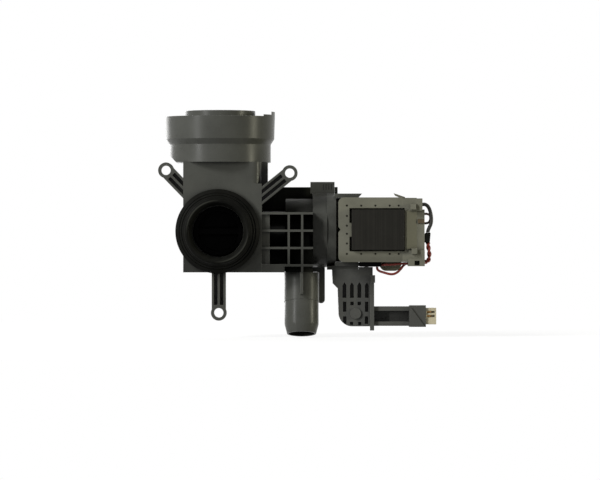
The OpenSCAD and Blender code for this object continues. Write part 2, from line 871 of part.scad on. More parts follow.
module filter_basket() {
    plate_end = filter_back + basket_plate_t;
    finger_end = plate_end + filter_finger_len;
    band_half = filter_finger_r + 0.3;
    band_len = 2.5;
    color(rubber_black) {
        rod_y(filter_r - 2, filter_back, plate_end);
        for (i = [0:filter_fingers - 1]) {
            rotate([0, 360 * i / filter_fingers, 0]) translate([finger_circle_r, 0, 0])
                rod_y(filter_finger_r, plate_end - cut, finger_end);
        }
        difference() {
            rod_y(finger_circle_r + band_half, finger_end - band_len, finger_end);
            rod_y(finger_circle_r - band_half, finger_end - band_len - cut, finger_end + cut);
        }
    }
}

module impeller() {
    shroud_t = 2;
    color("white") on_pump_axis() difference() {
        union() {
            rod_x(hub_r, impeller_front, impeller_back);
            rod_x(impeller_r, impeller_back - shroud_t, impeller_back);
            for (i = [0:vanes - 1]) {
                rotate([360 * (i + 0.5) / vanes, 0, 0]) span(
                    [impeller_front + 1.5, -vane_t / 2, hub_r - 1],
                    [impeller_back - cut, vane_t / 2, impeller_r]
                );
            }
        }
        rod_x(shaft_bore_r, impeller_front - cut, impeller_back);
        difference() {
            rod_x(coupling_r, coupling_front, coupling_back + cut);
            span([coupling_front - cut, -dog_w / 2, -hub_r], [coupling_back, dog_w / 2, -dog_hub_r - 0.4]);
        }
        rod_x(coupling_r + 0.8, coupling_back, impeller_back + cut);
    }
}

module impeller_cap() {
    color("white") on_pump_axis() difference() {
        rod_x(coupling_r + 0.8 - seat_gap, coupling_back, impeller_back);
        rod_x(shaft_bore_r, coupling_back - cut, impeller_back + cut);
    }
}

module drive_dog() {
    front = coupling_front + pass_gap;
    back = coupling_back - pass_gap;
    color(steel) on_pump_axis() difference() {
        union() {
            rod_x(dog_hub_r, front, back);
            span([front, -dog_w / 2, 0], [back, dog_w / 2, dog_tip_r]);
        }
        rod_x(shaft_r, front - cut, back + cut);
    }
}

module rotor_shaft() {
    color(steel) on_pump_axis() rod_x(shaft_r, shaft_start, can_end - pass_gap);
}

module rotor_magnet() {
    color("#3a3a3c") on_pump_axis() difference() {
        rod_x(magnet_r, magnet_x, magnet_x + magnet_len);
        rod_x(shaft_r, magnet_x - cut, magnet_x + magnet_len + cut);
    }
}

module bearing(x) {
    color("#6b5c48") on_pump_axis() difference() {
        rod_x(bearing_r, x, x + bearing_len);
        rod_x(shaft_bore_r, x - cut, x + bearing_len + cut);
    }
}

module front_bearing() {
    bearing(front_bearing_x);
}

module rear_bearing() {
    bearing(rear_bearing_x);
}

module shaft_seal() {
    color(rubber_black) on_pump_axis() difference() {
        rod_x(bearing_r, head_face_x + 1, front_bearing_x - 1);
        rod_x(shaft_bore_r, head_face_x, front_bearing_x);
        difference() {
            rod_x(bearing_r - 1.4, head_face_x, head_face_x + 3);
            rod_x(shaft_r + 1, head_face_x - cut, head_face_x + 4);
        }
    }
}

module thrust_washer() {
    color(brass) on_pump_axis() difference() {
        rod_x(bearing_r - 1, front_boss_end + seat_gap, front_boss_end + 1.2);
        rod_x(shaft_bore_r, front_boss_end - cut, front_boss_end + 3);
    }
}

// The motor head: a cup that closes the pump chamber, the flange, the rotor can and two clip arms
module motor_head() {
    cup_r = head_spigot_r - 4.4;
    groove_half = head_seal_section_r + seat_gap;
    module clip_arm(low, high) {
        plate_y(frame_back - clip_overlap, pump_y + 2) polygon([
            [flange_end - cut, low],
            [flange_end + clip_len - clip_t, low],
            [flange_end + clip_len, high],
            [flange_end - cut, high],
        ]);
    }
    color(housing_grey) {
        on_pump_axis() difference() {
            union() {
                difference() {
                    union() {
                        rod_x(head_spigot_r, head_face_x, flange_x + cut);
                        plate_x(flange_x, flange_end)
                            rounded_rectangle(flange_half, flange_half, flange_corner_r);
                    }
                    rod_x(cup_r, head_face_x + wall, flange_end + cut);
                }
                rod_x(can_r + can_wall, head_face_x, can_end + 2);
                for (i = [0:3]) {
                    rotate([45 + 90 * i, 0, 0]) span(
                        [head_face_x + cut, -rib_t / 2, can_r],
                        [flange_end - cut, rib_t / 2, cup_r + cut]
                    );
                }
            }
            rod_x(bearing_r + seat_gap / 2, head_face_x - cut, can_end);
            rod_x(can_r, front_boss_end, rear_bearing_x);
            difference() {
                rod_x(head_spigot_r + cut, head_seal_x - groove_half, head_seal_x + groove_half);
                rod_x(socket_r - 2 * groove_half, head_face_x, flange_x);
            }
        }
        clip_arm(pump_z + frame_half + seat_gap, pump_z + flange_half);
        clip_arm(pump_z - frame_half - seat_gap, pump_z - flange_half);
        span(
            [flange_end - cut, pump_y - 5, pump_z + flange_half - 2],
            [flange_end + 1.6, pump_y + 5, pump_z + flange_half + 6]
        );
        span(
            [flange_x + lock_reach + pass_gap, pump_y - 5, pump_z + flange_half - 2],
            [flange_end, pump_y + 5, pump_z + flange_half + 3]
        );
        span(
            [flange_x, bracket_y, pump_z - flange_half - clip_t],
            [hanger_end, bracket_back, pump_z - flange_half + seat_gap]
        );
    }
}

module head_seal_ring() {
    color(rubber_black) on_pump_axis()
        seal_about_x(socket_r - run_gap - head_seal_section_r, head_seal_section_r, head_seal_x);
}

// The core: a yoke in front and two legs that reach back round the rotor can
module stator_core() {
    color("#33322d") on_pump_axis() difference() {
        plate_x(core_x, core_end) difference() {
            translate([-core_reach, -core_half]) square([core_reach + can_r + 1.5, 2 * core_half]);
            translate([yoke_t - core_reach, -leg_gap_half]) square([2 * core_reach, 2 * leg_gap_half]);
        }
        rod_x(can_r + can_wall + pass_gap, core_x - cut, core_end + cut);
    }
}

// Rows of pin holes in the coil frame's front, around the window
module pin_holes() {
    row_z = frame_half - 7.2;
    column_x = frame_x + 7.3;
    module pin_hole(x, z) {
        translate([x, 0, pump_z + z]) rod_y(pin_hole_r, frame_front - cut, frame_front + pin_hole_depth);
    }
    for (s = [-1, 1]) {
        for (x = [0, 12.5, 25, 37.5, 45.4]) {
            pin_hole(column_x + x, s * row_z);
        }
        for (z = [row_z / 6, row_z * 4 / 7]) {
            pin_hole(column_x, s * z);
        }
    }
}

// The coil frame's outline with its rounded left corners and the notch between them
module frame_outline() {
    corner_r = 4.5;
    notch = 1.9;
    difference() {
        union() {
            translate([frame_x + corner_r, frame_bottom])
                square([frame_len - corner_r, 2 * frame_half]);
            translate([frame_x, frame_bottom + corner_r])
                square([frame_len, 2 * (frame_half - corner_r)]);
            for (s = [-1, 1]) {
                translate([frame_x + corner_r, pump_z + s * (frame_half - corner_r)]) circle(corner_r);
            }
        }
        translate([frame_x, pump_z]) polygon([[-cut, 2 * notch], [-cut, -2 * notch], [notch, 0]]);
    }
}

module coil_frame() {
    window_x = core_x - 2;
    tab_half = 6;
    color(frame_beige) {
        difference() {
            plate_y(frame_front, frame_back) frame_outline();
            span(
                [frame_x + frame_wall, frame_front + frame_wall, frame_bottom + frame_wall],
                [frame_end + cut, frame_back + cut, pump_z + frame_half - frame_wall]
            );
            span(
                [window_x, frame_front - cut, pump_z - window_half],
                [frame_end + cut, frame_back, pump_z + window_half]
            );
            pin_holes();
        }
        span(
            [window_x - cut, frame_front, pump_z - tab_half],
            [core_x - seat_gap, frame_front + frame_wall, pump_z + tab_half]
        );
    }
}

// A hole for one of the core's legs, wider than the leg by a gap all round
module leg_hole(side, gap, y0, y1) {
    inner = side * (leg_gap_half - gap);
    outer = side * (core_half + gap);
    span(
        [core_x - gap, y0, pump_z + min(inner, outer)],
        [core_end + gap, y1, pump_z + max(inner, outer)]
    );
}

// The cover over the coils' backs, with a round tongue below the coil frame
module coil_rear_cover() {
    cover_t = 0.9;
    color(frame_beige) difference() {
        union() {
            span(
                [flange_end + seat_gap, frame_back, frame_bottom],
                [cap_end - 6, frame_back + cover_t, pump_z + frame_half]
            );
            plate_y(frame_back, frame_back + cover_t) translate([frame_end - 9.8, frame_bottom])
                rounded_rectangle(9.7, 8, 6);
        }
        for (side = [-1, 1]) {
            leg_hole(side, 0, frame_back - cut, frame_back + 3);
        }
    }
}

module bobbin(side) {
    flange_out = pass_gap + bobbin_t + winding_build;
    color("#8f8a70") difference() {
        union() {
            leg_hole(side, pass_gap + bobbin_t, bobbin_front, bobbin_back);
            leg_hole(side, flange_out, bobbin_front, bobbin_front + bobbin_t);
            leg_hole(side, flange_out, bobbin_back - bobbin_t, bobbin_back);
        }
        leg_hole(side, pass_gap, bobbin_front - cut, bobbin_back + cut);
    }
}

module winding(side) {
    start = bobbin_front + bobbin_t + seat_gap;
    end = bobbin_back - bobbin_t - seat_gap;
    color("#a4562c") difference() {
        leg_hole(side, pass_gap + bobbin_t + winding_build - seat_gap, start, end);
        leg_hole(side, pass_gap + bobbin_t + seat_gap, start - cut, end + cut);
    }
}

module upper_bobbin() {
    bobbin(1);
}

module lower_bobbin() {
    bobbin(-1);
}

module upper_winding() {
    winding(1);
}

module lower_winding() {
    winding(-1);
}

// The terminal cap: two blocks, a sloped panel between them, a foot with a lead slot and a hook on top
module terminal_cap() {
    upper_z = pump_z + core_half - 1;
    lower_z = pump_z - core_half - 0.4;
    foot_z = pump_z - frame_half + 3;
    foot_x = cap_end - 14.5;
    top_z = pump_z + frame_half - 0.9;
    panel_back = frame_front + 5;
    coil_end = core_end + pass_gap + bobbin_t + winding_build + 0.8;
    lead_slot_w = 4.5;
    lead_slot_h = 4;
    lead_slot_depth = 4;
    module cap_catch(x, z) {
        translate([x, frame_front - 2.4, z]) cube([4.8, 2.4 + cut, 4.8]);
    }
    color(frame_beige) {
        difference() {
            union() {
                span([frame_end, frame_front, upper_z], [cap_end - 2, frame_back, top_z]);
                span([frame_end, frame_front, frame_bottom], [cap_end, frame_back, lower_z]);
                translate([0, 0, lower_z - cut]) linear_extrude(upper_z - lower_z + 2 * cut) polygon([
                    [frame_end, frame_front - 1],
                    [core_end + 2, frame_front - 1],
                    [core_end + 11, panel_back],
                    [cap_end, panel_back],
                    [cap_end, frame_back],
                    [frame_end, frame_back],
                ]);
                span([foot_x, frame_front - 1, foot_z - 6.6], [cap_end, frame_front + 22, foot_z]);
                cap_catch(cap_end - 12.5, upper_z + 1);
                cap_catch(cap_end - 11.5, lower_z - 3);
            }
            span(
                [frame_end - cut, bobbin_front - cut, frame_bottom + frame_wall],
                [coil_end, frame_back + cut, pump_z + frame_half - frame_wall]
            );
            span(
                [frame_end - cut, core_front - cut, pump_z - window_half],
                [core_end + pass_gap, bobbin_front, pump_z + window_half]
            );
            translate([cap_end - 9, frame_front - 2 * cut, foot_z - 5.8])
                cube([lead_slot_w, lead_slot_depth + 2 * cut, lead_slot_h]);
        }
        plate_y(frame_front + 4, frame_front + 8) polygon([
            [frame_end + 2.4, top_z - cut],
            [frame_end + 2.4, top_z + 1.2],
            [frame_end - 7.6, top_z + 4.6],
            [frame_end - 6.4, top_z + 2.4],
            [frame_end - 3, top_z + 0.9 + seat_gap],
            [frame_end + seat_gap, top_z + 0.9 + seat_gap],
            [frame_end + seat_gap, top_z - cut],
        ]);
    }
}

// One blade on the terminal cap's panel, the other on its end face, behind the boot
module terminal_blades() {
    blade_t = 0.9;
    blade_w = 3.7;
    upper_z = pump_z + 5.6;
    lower_z = pump_z - 8.4;
    panel_y = frame_front + 5;
    color(brass) {
        span([cap_end - 6, panel_y - blade_t, upper_z], [cap_end, panel_y, upper_z + blade_w]);
        span([cap_end, panel_y + 6.6, lower_z], [cap_end + blade_t, panel_y + 13, lower_z + blade_w]);
    }
}

module terminal_boot() {
    color(rubber_black) plate_y(frame_front + 5.5, frame_front + 11.5) polygon([
        [cap_end, boot_bottom],
        [cap_end + 4.6, boot_bottom],
        [cap_end + 5.4, boot_top],
        [cap_end + 1.2, boot_top],
        [cap_end, boot_top - 1.2],
    ]);
}

module black_lead() {
    color(rubber_black) lead(black_lead_route, black_lead_r);
}

module brown_lead() {
    color("#3a1c12") lead(brown_lead_route, red_lead_r);
}

module red_lead_loop() {
    color("#5a1a10") lead(red_lead_loop_route, red_lead_r * 4 / 3);
}

module upper_red_lead() {
    color("#5a1a10") lead(upper_red_lead_route, red_lead_r);
}

module lower_red_lead() {
    color("#5a1a10") lead(lower_red_lead_route, red_lead_r);
}

module wire_clamp() {
    color(rubber_black) translate([clamp_x, clamp_front, frame_bottom - clamp_h])
        cube([clamp_len, clamp_depth, clamp_h]);
}

module harness_sleeve() {
    color(rubber_black) lead(harness_route, harness_r);
}

// The slotted plate's outline, with its stepped left edge and round lower corner
module bracket_outline() {
    corner_r = 12;
    translate([bracket_x, bracket_top]) {
        polygon([
            [0, 0], [0.6, -12], [5, -16.5], [5.8, -bracket_h + corner_r], [5.8 + corner_r, -bracket_h],
            [bracket_w, -bracket_h], [bracket_w, 0],
        ]);
        translate([5.8 + corner_r, -bracket_h + corner_r]) circle(corner_r);
    }
}

// One slot, or a pair of slots set evenly about the plate's middle
module slot_pair(spread, width, top, height, peak = 0) {
    for (s = [-1, 1]) {
        translate([bracket_middle + s * spread, bracket_top - top]) polygon([
            [-width / 2, 0], [0, peak], [width / 2, 0], [width / 2, -height], [-width / 2, -height],
        ]);
    }
}

module harness_bracket() {
    rib_x = bracket_end - 2.4;
    rib_w = 3.6;
    holder_z = arm_mid_z - holder_h / 2;
    pocket_h = connector_h / 2 + seat_gap;
    color(housing_grey) {
        difference() {
            union() {
                plate_y(bracket_y, bracket_back) bracket_outline();
                span(
                    [hanger_end + seat_gap, bracket_y, bracket_top - cut],
                    [bracket_end, bracket_y + 5, bracket_top + 2.4]
                );
                translate([bracket_middle, 0, bracket_top - 38.6])
                    rod_y(boss_r, bracket_y - 1.4, bracket_y + cut);
                span(
                    [rib_x, bracket_y - 3, bracket_bottom - rib_w],
                    [rib_x + rib_w, bracket_back, bracket_top - 5]
                );
                span(
                    [rib_x + 0.8, bracket_y - 4.4, bracket_top - 11.4],
                    [rib_x + rib_w + 0.8, bracket_y - cut, bracket_top - 4.8]
                );
                span(
                    [bracket_end, bracket_y, arm_mid_z - arm_h / 2],
                    [arm_end + cut, bracket_back, arm_mid_z + arm_h / 2]
                );
                span([arm_end, bracket_y, holder_z], [holder_end, holder_back, holder_z + holder_h]);
                plate_y(bracket_y - 1.6, bracket_y + cut) polygon([
                    [arm_end + 0.6, holder_z + 0.6],
                    [holder_end - 1, holder_z + 0.6],
                    [arm_end + 1.6, holder_z + holder_h - 2],
                    [arm_end + 0.6, holder_z + holder_h - 2],
                ]);
            }
            plate_y(bracket_y - cut, bracket_y + slot_depth) {
                slot_pair(9.9, 3.4, 13.8, 11, 2.8);
                slot_pair(3.3, 3.4, 13.8, 11, 2.8);
                slot_pair(9.7, 3, 28.2, 9);
                slot_pair(3.2, 3, 28.2, 3.2);
                slot_pair(9.6, 3, 41.2, 6.6);
                slot_pair(3.6, 2.9, 46, 2.8);
            }
            span(
                [rib_x + rib_w, bracket_y - cut, arm_mid_z - arm_h / 2 + arm_rail_t],
                [arm_end, bracket_back - 2, arm_mid_z + arm_h / 2 - arm_rail_t]
            );
            span(
                [arm_end + holder_wall, holder_mid_y - connector_d / 2 - seat_gap, arm_mid_z - pocket_h],
                [holder_end + cut, holder_mid_y + connector_d / 2 + seat_gap, arm_mid_z + pocket_h]
            );
        }
    }
}

module connector_housing() {
    start = arm_end + holder_wall + seat_gap;
    end = holder_end + connector_reach;
    half_d = connector_d / 2;
    half_h = connector_h / 2;
    window_h = 2;
    color(ivory) difference() {
        span(
            [start, holder_mid_y - half_d, arm_mid_z - half_h],
            [end, holder_mid_y + half_d, arm_mid_z + half_h]
        );
        span(
            [start + 4, holder_mid_y - half_d + connector_wall, arm_mid_z - half_h + connector_wall],
            [end + cut, holder_mid_y + half_d - connector_wall, arm_mid_z + half_h - connector_wall]
        );
        for (i = [0, 1]) {
            translate([holder_end + 1, holder_mid_y - half_d - cut, arm_mid_z + (i * half_h - window_h) / 2])
                cube([connector_reach - 2.4, connector_wall + 2 * cut, window_h]);
        }
    }
}

module connector_pins() {
    start = arm_end + holder_wall + seat_gap + 4;
    color(brass) {
        for (i = [-1, 0, 1]) {
            translate([start, holder_mid_y, arm_mid_z + i * connector_h / 4])
                translate([0, -1.2, -0.8]) cube([holder_len + connector_reach - 10, 2.4, 1.6]);
        }
    }
}

filter_housing();
inlet_tube();
port_nozzle();
inlet_collar();
left_mounting_ear();
right_mounting_ear();
lower_mounting_ear();
suction_duct();
pump_casing();
casing_ribs();
motor_ring();
outlet_spigot();
port_sleeve();
filter_seal_ring();
filter_cap();
filter_basket();
impeller();
impeller_cap();
drive_dog();
rotor_shaft();
rotor_magnet();
front_bearing();
rear_bearing();
shaft_seal();
thrust_washer();
motor_head();
head_seal_ring();
stator_core();
coil_frame();
coil_rear_cover();
upper_bobbin();
lower_bobbin();
upper_winding();
lower_winding();
terminal_cap();
terminal_blades();
terminal_boot();
black_lead();
brown_lead();
red_lead_loop();
upper_red_lead();
lower_red_lead();
wire_clamp();
harness_sleeve();
harness_bracket();
connector_housing();
connector_pins();
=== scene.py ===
"""Dresses a washer drain pump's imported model: softened mouldings, leads, finishes, stage and camera."""

import json
import math

import bmesh
import bpy
import numpy as np
from bpy.props import FloatProperty, FloatVectorProperty, PointerProperty
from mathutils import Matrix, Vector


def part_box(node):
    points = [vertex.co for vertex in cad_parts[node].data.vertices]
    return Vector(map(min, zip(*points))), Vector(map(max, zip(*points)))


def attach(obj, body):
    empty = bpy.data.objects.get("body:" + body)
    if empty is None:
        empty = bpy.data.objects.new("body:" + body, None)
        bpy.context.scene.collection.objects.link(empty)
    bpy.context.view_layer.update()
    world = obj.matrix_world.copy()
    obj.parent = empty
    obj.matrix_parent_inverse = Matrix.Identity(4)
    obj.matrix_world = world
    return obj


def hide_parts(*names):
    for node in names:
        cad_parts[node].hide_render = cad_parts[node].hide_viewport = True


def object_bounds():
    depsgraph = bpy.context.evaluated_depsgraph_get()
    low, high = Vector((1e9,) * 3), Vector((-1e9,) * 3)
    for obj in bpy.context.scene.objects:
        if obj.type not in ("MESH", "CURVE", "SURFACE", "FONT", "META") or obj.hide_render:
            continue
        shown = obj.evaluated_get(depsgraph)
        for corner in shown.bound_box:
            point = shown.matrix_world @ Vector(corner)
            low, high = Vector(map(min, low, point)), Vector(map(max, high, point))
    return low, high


bl_info = {
    "name": "Washer drain pump",
    "version": (1, 0, 0),
    "blender": (4, 5, 0),
    "location": "View3D > Sidebar > Drain pump",
    "description": "Dresses the drain pump's packed model with its mouldings, leads, finishes and stage",
    "category": "Object",
}

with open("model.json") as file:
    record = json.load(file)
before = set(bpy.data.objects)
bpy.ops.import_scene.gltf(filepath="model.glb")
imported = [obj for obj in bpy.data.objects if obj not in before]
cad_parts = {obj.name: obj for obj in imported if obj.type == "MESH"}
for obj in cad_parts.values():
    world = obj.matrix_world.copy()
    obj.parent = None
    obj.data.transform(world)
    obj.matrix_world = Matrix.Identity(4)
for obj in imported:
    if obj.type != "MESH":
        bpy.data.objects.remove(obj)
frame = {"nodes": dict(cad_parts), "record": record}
CAD_LOW, CAD_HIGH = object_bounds()
BODY_OF = {node: body for body, nodes in frame["record"]["behaviour"]["bodies"].items() for node in nodes}
SLOT_OF = {row["node"]: row["material_slot"] for row in frame["record"]["subparts"]}
MM = 0.001

# Routes of the leads in millimetres, as the solids have them
BLACK_LEAD = [
    (179.6, 8, 23.6), (182.2, 8, 23.6), (184.8, 7.8, 21.6), (186.6, 7.5, 17.4), (187.5, 7, 12),
    (187.2, 6.6, 7), (185.6, 6.5, 3), (184.6, 6.5, 0.4), (184.6, 6.5, -0.9),
]
BROWN_LEAD = [
    (181.6, 12, 15.4), (183.4, 12, 15.4), (185.6, 13, 14.8), (186.8, 15.5, 13.2), (187, 19, 11),
    (186.6, 22.6, 9), (185.2, 25.4, 7.6), (183.4, 26.4, 7.2), (181.6, 26.4, 7.2),
]
RED_LEAD_LOOP = [
    (184.6, 6.5, -10.1), (184.6, 6.5, -12), (185.1, 6.5, -15), (185.6, 6.4, -18.2), (185.7, 6.2, -21.2),
    (185.3, 6, -24.35), (184.2, 6, -26.15), (182.7, 6, -26.75), (181.6, 6, -26.75),
]
UPPER_RED_LEAD = [
    (166.9, 4, -28.15), (164, 4, -28.15), (159, 4, -28.55), (154, 4.2, -29.05), (149, 5, -29.25),
    (145.6, 6, -29.25), (143.6, 6, -29.25),
]
LOWER_RED_LEAD = [
    (166.9, 9, -28.55), (165.3, 9, -28.55), (163, 8.6, -30.15), (160.6, 7.6, -33.15), (157.5, 6.2, -36.05),
    (153.9, 5.4, -37.55), (150.1, 5.6, -37.35), (146.5, 6.6, -36.35), (143.2, 7.9, -35.35),
    (140.9, 8.8, -34.15), (140, 9, -32.55), (140, 9, -31.15),
]
HARNESS = [
    (131, 18.1, -29.25), (131, 24, -29.25), (131, 30.7, -29.25), (131, 36.4, -30.35), (131, 41.3, -33.65),
    (131, 44.6, -38.55), (130.95, 45.7, -44.3), (130.95, 45.7, -51.8), (130.95, 45.7, -58.8),
    (132.25, 45.7, -64.9), (135.65, 45.7, -70.1), (140.85, 45.7, -73.6), (146.95, 45.7, -74.8),
    (153.85, 45.7, -74.8), (160.85, 45.7, -74.8), (167.85, 45.7, -74.8), (170.95, 45.1, -74.8),
    (173.55, 43.4, -74.8), (175.25, 40.8, -74.8), (175.85, 37.7, -74.8), (175.85, 36.5, -74.8),
]


def tint(name, description, colour):
    """A colour of one finish, in linear light."""
    return FloatVectorProperty(
        name=name, description=description, subtype="COLOR", size=3, min=0, max=1, default=colour
    )


def length(name, description, value):
    """A length in metres."""
    return FloatProperty(name=name, description=description, unit="LENGTH", min=0, precision=5, default=value)


def share(name, description, value):
    """A share from none to all."""
    return FloatProperty(name=name, description=description, subtype="FACTOR", min=0, max=1, default=value)


def power(name, description, value):
    """A lamp's power in watts."""
    return FloatProperty(name=name, description=description, unit="POWER", min=0, default=value)


class PumpFinishes(bpy.types.PropertyGroup):
    """Colours and surface values of the pump's materials"""

    housing: tint("Housing", "Grey of the housing, collar, casing and motor head", (0.073, 0.0745, 0.066))
    bracket: tint("Bracket", "Lighter grey of the harness bracket", (0.084, 0.085, 0.078))
    rubber: tint("Rubber", "Black of the port sleeve, seals and terminal boot", (0.0052, 0.0053, 0.0044))
    filter_black: tint("Filter", "Black of the lint filter and the wire clamp", (0.004, 0.004, 0.004))
    coil_frame: tint("Coil frame", "Beige grey of the coil frame, cap and bobbins", (0.184, 0.182, 0.143))
    core: tint("Core", "Varnished steel sheets of the stator core", (0.0195, 0.0188, 0.016))
    ivory: tint("Connector", "Ivory of the lead connector", (0.52, 0.47, 0.33))
    impeller: tint("Impeller", "Off-white of the impeller and its cap", (0.58, 0.57, 0.53))
    copper: tint("Windings", "Enamelled copper of the windings", (0.42, 0.13, 0.045))
    brass: tint("Brass", "Stamped brass of the pins and the washer", (0.30, 0.17, 0.065))
    tarnish: tint("Blades", "Tarnished brass of the terminal blades", (0.085, 0.066, 0.042))
    steel: tint("Steel", "Ground steel of the shaft and the drive dog", (0.52, 0.52, 0.51))
    bronze: tint("Bronze", "Sintered bronze of the bearings", (0.26, 0.17, 0.085))
    ferrite: tint("Ferrite", "Dull dark grey of the rotor magnet", (0.028, 0.028, 0.030))
    black_sheath: tint("Black lead", "Sheath of the black lead and the harness", (0.012, 0.0115, 0.0095))
    brown_sheath: tint("Brown lead", "Sheath of the brown lead", (0.045, 0.015, 0.009))
    red_sheath: tint("Red leads", "Sheath of the red leads", (0.19, 0.026, 0.017))
    dust: tint("Dust", "Pale dust on what faces up", (0.20, 0.195, 0.18))
    mottle: share("Mottle", "How far a moulding's tone drifts", 0.16)
    # Pale edges: partly worn plastic, partly a painted highlight
    edge_wear_and_highlight: share("Pale edges", "How pale edges are from worn plastic and painted highlight", 0.30)
    dusting: share("Dusting", "How much dust lies on what faces up", 0.10)
    # Painted shade: how dark the lower housing, casing and coil frame are made towards the bottom
    low_shade: share("Low shade", "How dark the painted shade makes the lower housing, casing and coil frame", 0.72)
    # Radius of the painted highlight line on the port sleeve's lip
    lip: length("Painted lip highlight", "Radius of the painted highlight line on the sleeve's lip", 0.0268)


class PumpEdges(bpy.types.PropertyGroup):
    """Widths of the broken edges"""

    housing: length("Housing edge", "Bevel on the housing, collar, casing and motor head", 0.0006)
    fine: length("Fine edge", "Bevel on the ears, ribs, core, cap, bracket and small pieces", 0.00032)
    soft: length("Soft edge", "Bevel on the terminal boot and the wire clamp", 0.0010)
    sleeve: length("Sleeve edge", "Bevel on the port sleeve", 0.0004)
    pin_hole: length("Pin hole edge", "Bevel on the coil frame and its pin holes", 0.00016)
    slender: length("Slender edge", "Bevel on the bobbins and the connector's pins", 0.000192)
    rotor: length("Rotor edge", "Bevel on the impeller, the rotor, its bearings and its seals", 0.000256)


class PumpStage(bpy.types.PropertyGroup):
    """Lights, floor and camera"""

    key: power("Key light", "Power of the upper left softbox", 42.0)
    left: power("Left strip", "Power of the left strip", 15.5)
    right: power("Right strip", "Power of the right strip", 18.0)
    back: power("Back light", "Power of the high softbox behind", 14.0)
    rear: power("Rear fill", "Power of the low softbox behind", 18.0)
    ambient: share("Ambient", "Even light from all around", 0.04)
    glow: share("Floor glow", "How bright the floor is to the eye without any light on it", 0.84)
    distance: length("Camera distance", "Camera before the ears' front faces", 3.5)
    lens: FloatProperty(
        name="Lens", description="Focal length in millimetres", unit="CAMERA", min=1, default=239.6
    )


# Shader node groups and materials

SHEETS_PER_METRE = 2000.0
WIRE_TONES_PER_METRE = 2000.0
# The painted highlight line on the port's lip starts at the first of these depths and is full at the second
LIP_BACK, LIP_FRONT = -11.5 * MM, -12.5 * MM


def place(tree, kind, sockets=None, **settings):
    """A node of one kind: settings are its options, sockets are values or the outputs that feed it."""
    node = tree.nodes.new(kind)
    for option, value in settings.items():
        setattr(node, option, value)
    for key, value in (sockets or {}).items():
        if isinstance(value, bpy.types.NodeSocket):
            tree.links.new(value, node.inputs[key])
        else:
            node.inputs[key].default_value = value
    return node


def sums(tree, operation, a, b=0.0, clamp=False):
    """The result of a Math node."""
    return place(tree, "ShaderNodeMath", {0: a, 1: b}, operation=operation, use_clamp=clamp).outputs[0]


def ranged(tree, value, low, high, to_low=0.0, to_high=1.0, smooth=False):
    """A value carried from one range to another, held at its ends."""
    kind = "SMOOTHSTEP" if smooth else "LINEAR"
    sockets = {0: value, 1: low, 2: high, 3: to_low, 4: to_high}
    return place(tree, "ShaderNodeMapRange", sockets, interpolation_type=kind).outputs[0]


def noise(tree, where, scale, detail, rough=0.5):
    """Noise over the surface, from about 0.2 to 0.8."""
    sockets = {"Vector": where, "Scale": scale, "Detail": detail, "Roughness": rough}
    return place(tree, "ShaderNodeTexNoise", sockets).outputs[0]


def blended(tree, amount, a, b):
    """Colour a turned towards colour b by an amount."""
    return place(tree, "ShaderNodeMix", {0: amount, 6: a, 7: b}, data_type="RGBA").outputs[2]


def covered(tree, body, mask, most, over):
    """A body colour with another over it where a mask is, up to the given share."""
    return blended(tree, sums(tree, "MULTIPLY", mask, most), body, over)


def own_value(tree, count):
    """A random value for each whole number of a count."""
    number = sums(tree, "FLOOR", count)
    return place(tree, "ShaderNodeTexWhiteNoise", {"W": number}, noise_dimensions="1D").outputs["Value"]


def group_shell(name, inputs, outputs):
    """An empty shader node group with number inputs (name, value) and number outputs."""
    tree = bpy.data.node_groups.new(name, "ShaderNodeTree")
    for label, value in inputs:
        socket = tree.interface.new_socket(label, in_out="INPUT", socket_type="NodeSocketFloat")
        socket.default_value = value
    for label in outputs:
        tree.interface.new_socket(label, in_out="OUTPUT", socket_type="NodeSocketFloat")
    return tree, tree.nodes.new("NodeGroupInput").outputs, tree.nodes.new("NodeGroupOutput").inputs


def put_out(tree, sockets, **values):
    """Links a group's results to its named outputs."""
    for label, value in values.items():
        tree.links.new(value, sockets[label.replace("_", " ")])


def moulded_grain_group():
    """Moulded skin: spark-eroded grain for the height, slow clouds for the tone."""
    tree, given, out = group_shell("Moulded grain", [("Grain", 1700.0), ("Clouds", 34.0)], ["Height", "Tone"])
    where = place(tree, "ShaderNodeTexCoord").outputs["Object"]
    fine = noise(tree, where, given["Grain"], 3.0, 0.62)
    clouds = noise(tree, where, given["Clouds"], 5.0, 0.58)
    speck = sums(tree, "MULTIPLY", sums(tree, "SUBTRACT", fine, 0.5), 0.5)
    put_out(tree, out, Height=fine, Tone=sums(tree, "ADD", clouds, speck, clamp=True))
    return tree


def worn_and_painted_edges_group():
    """Pale edges, partly worn and partly a painted highlight: where the rounded normal leaves the face's own,
    broken up by noise.
    """
    tree, given, out = group_shell("Rubbed edges", [("Width", 0.8 * MM), ("Breakup", 260.0)], ["Mask"])
    where = place(tree, "ShaderNodeTexCoord").outputs["Object"]
    rounded = place(tree, "ShaderNodeBevel", {"Radius": given["Width"]}, samples=6).outputs[0]
    face = place(tree, "ShaderNodeNewGeometry").outputs["Normal"]
    agree = place(tree, "ShaderNodeVectorMath", {0: rounded, 1: face}, operation="DOT_PRODUCT")
    edge = ranged(tree, agree.outputs["Value"], 0.995, 0.86)
    patches = ranged(tree, noise(tree, where, given["Breakup"], 3.0), 0.36, 0.62, 0.25, 1.0)
    put_out(tree, out, Mask=sums(tree, "MULTIPLY", edge, patches))
    return tree


def shaded_corners_group():
    """Painted shade in corners: how much of the near sky the surface's own neighbours hide."""
    tree, given, out = group_shell("Shaded corners", [("Reach", 12 * MM)], ["Mask"])
    near = place(tree, "ShaderNodeAmbientOcclusion", {"Distance": given["Reach"]}, samples=6).outputs["AO"]
    put_out(tree, out, Mask=ranged(tree, near, 0.85, 0.2))
    return tree


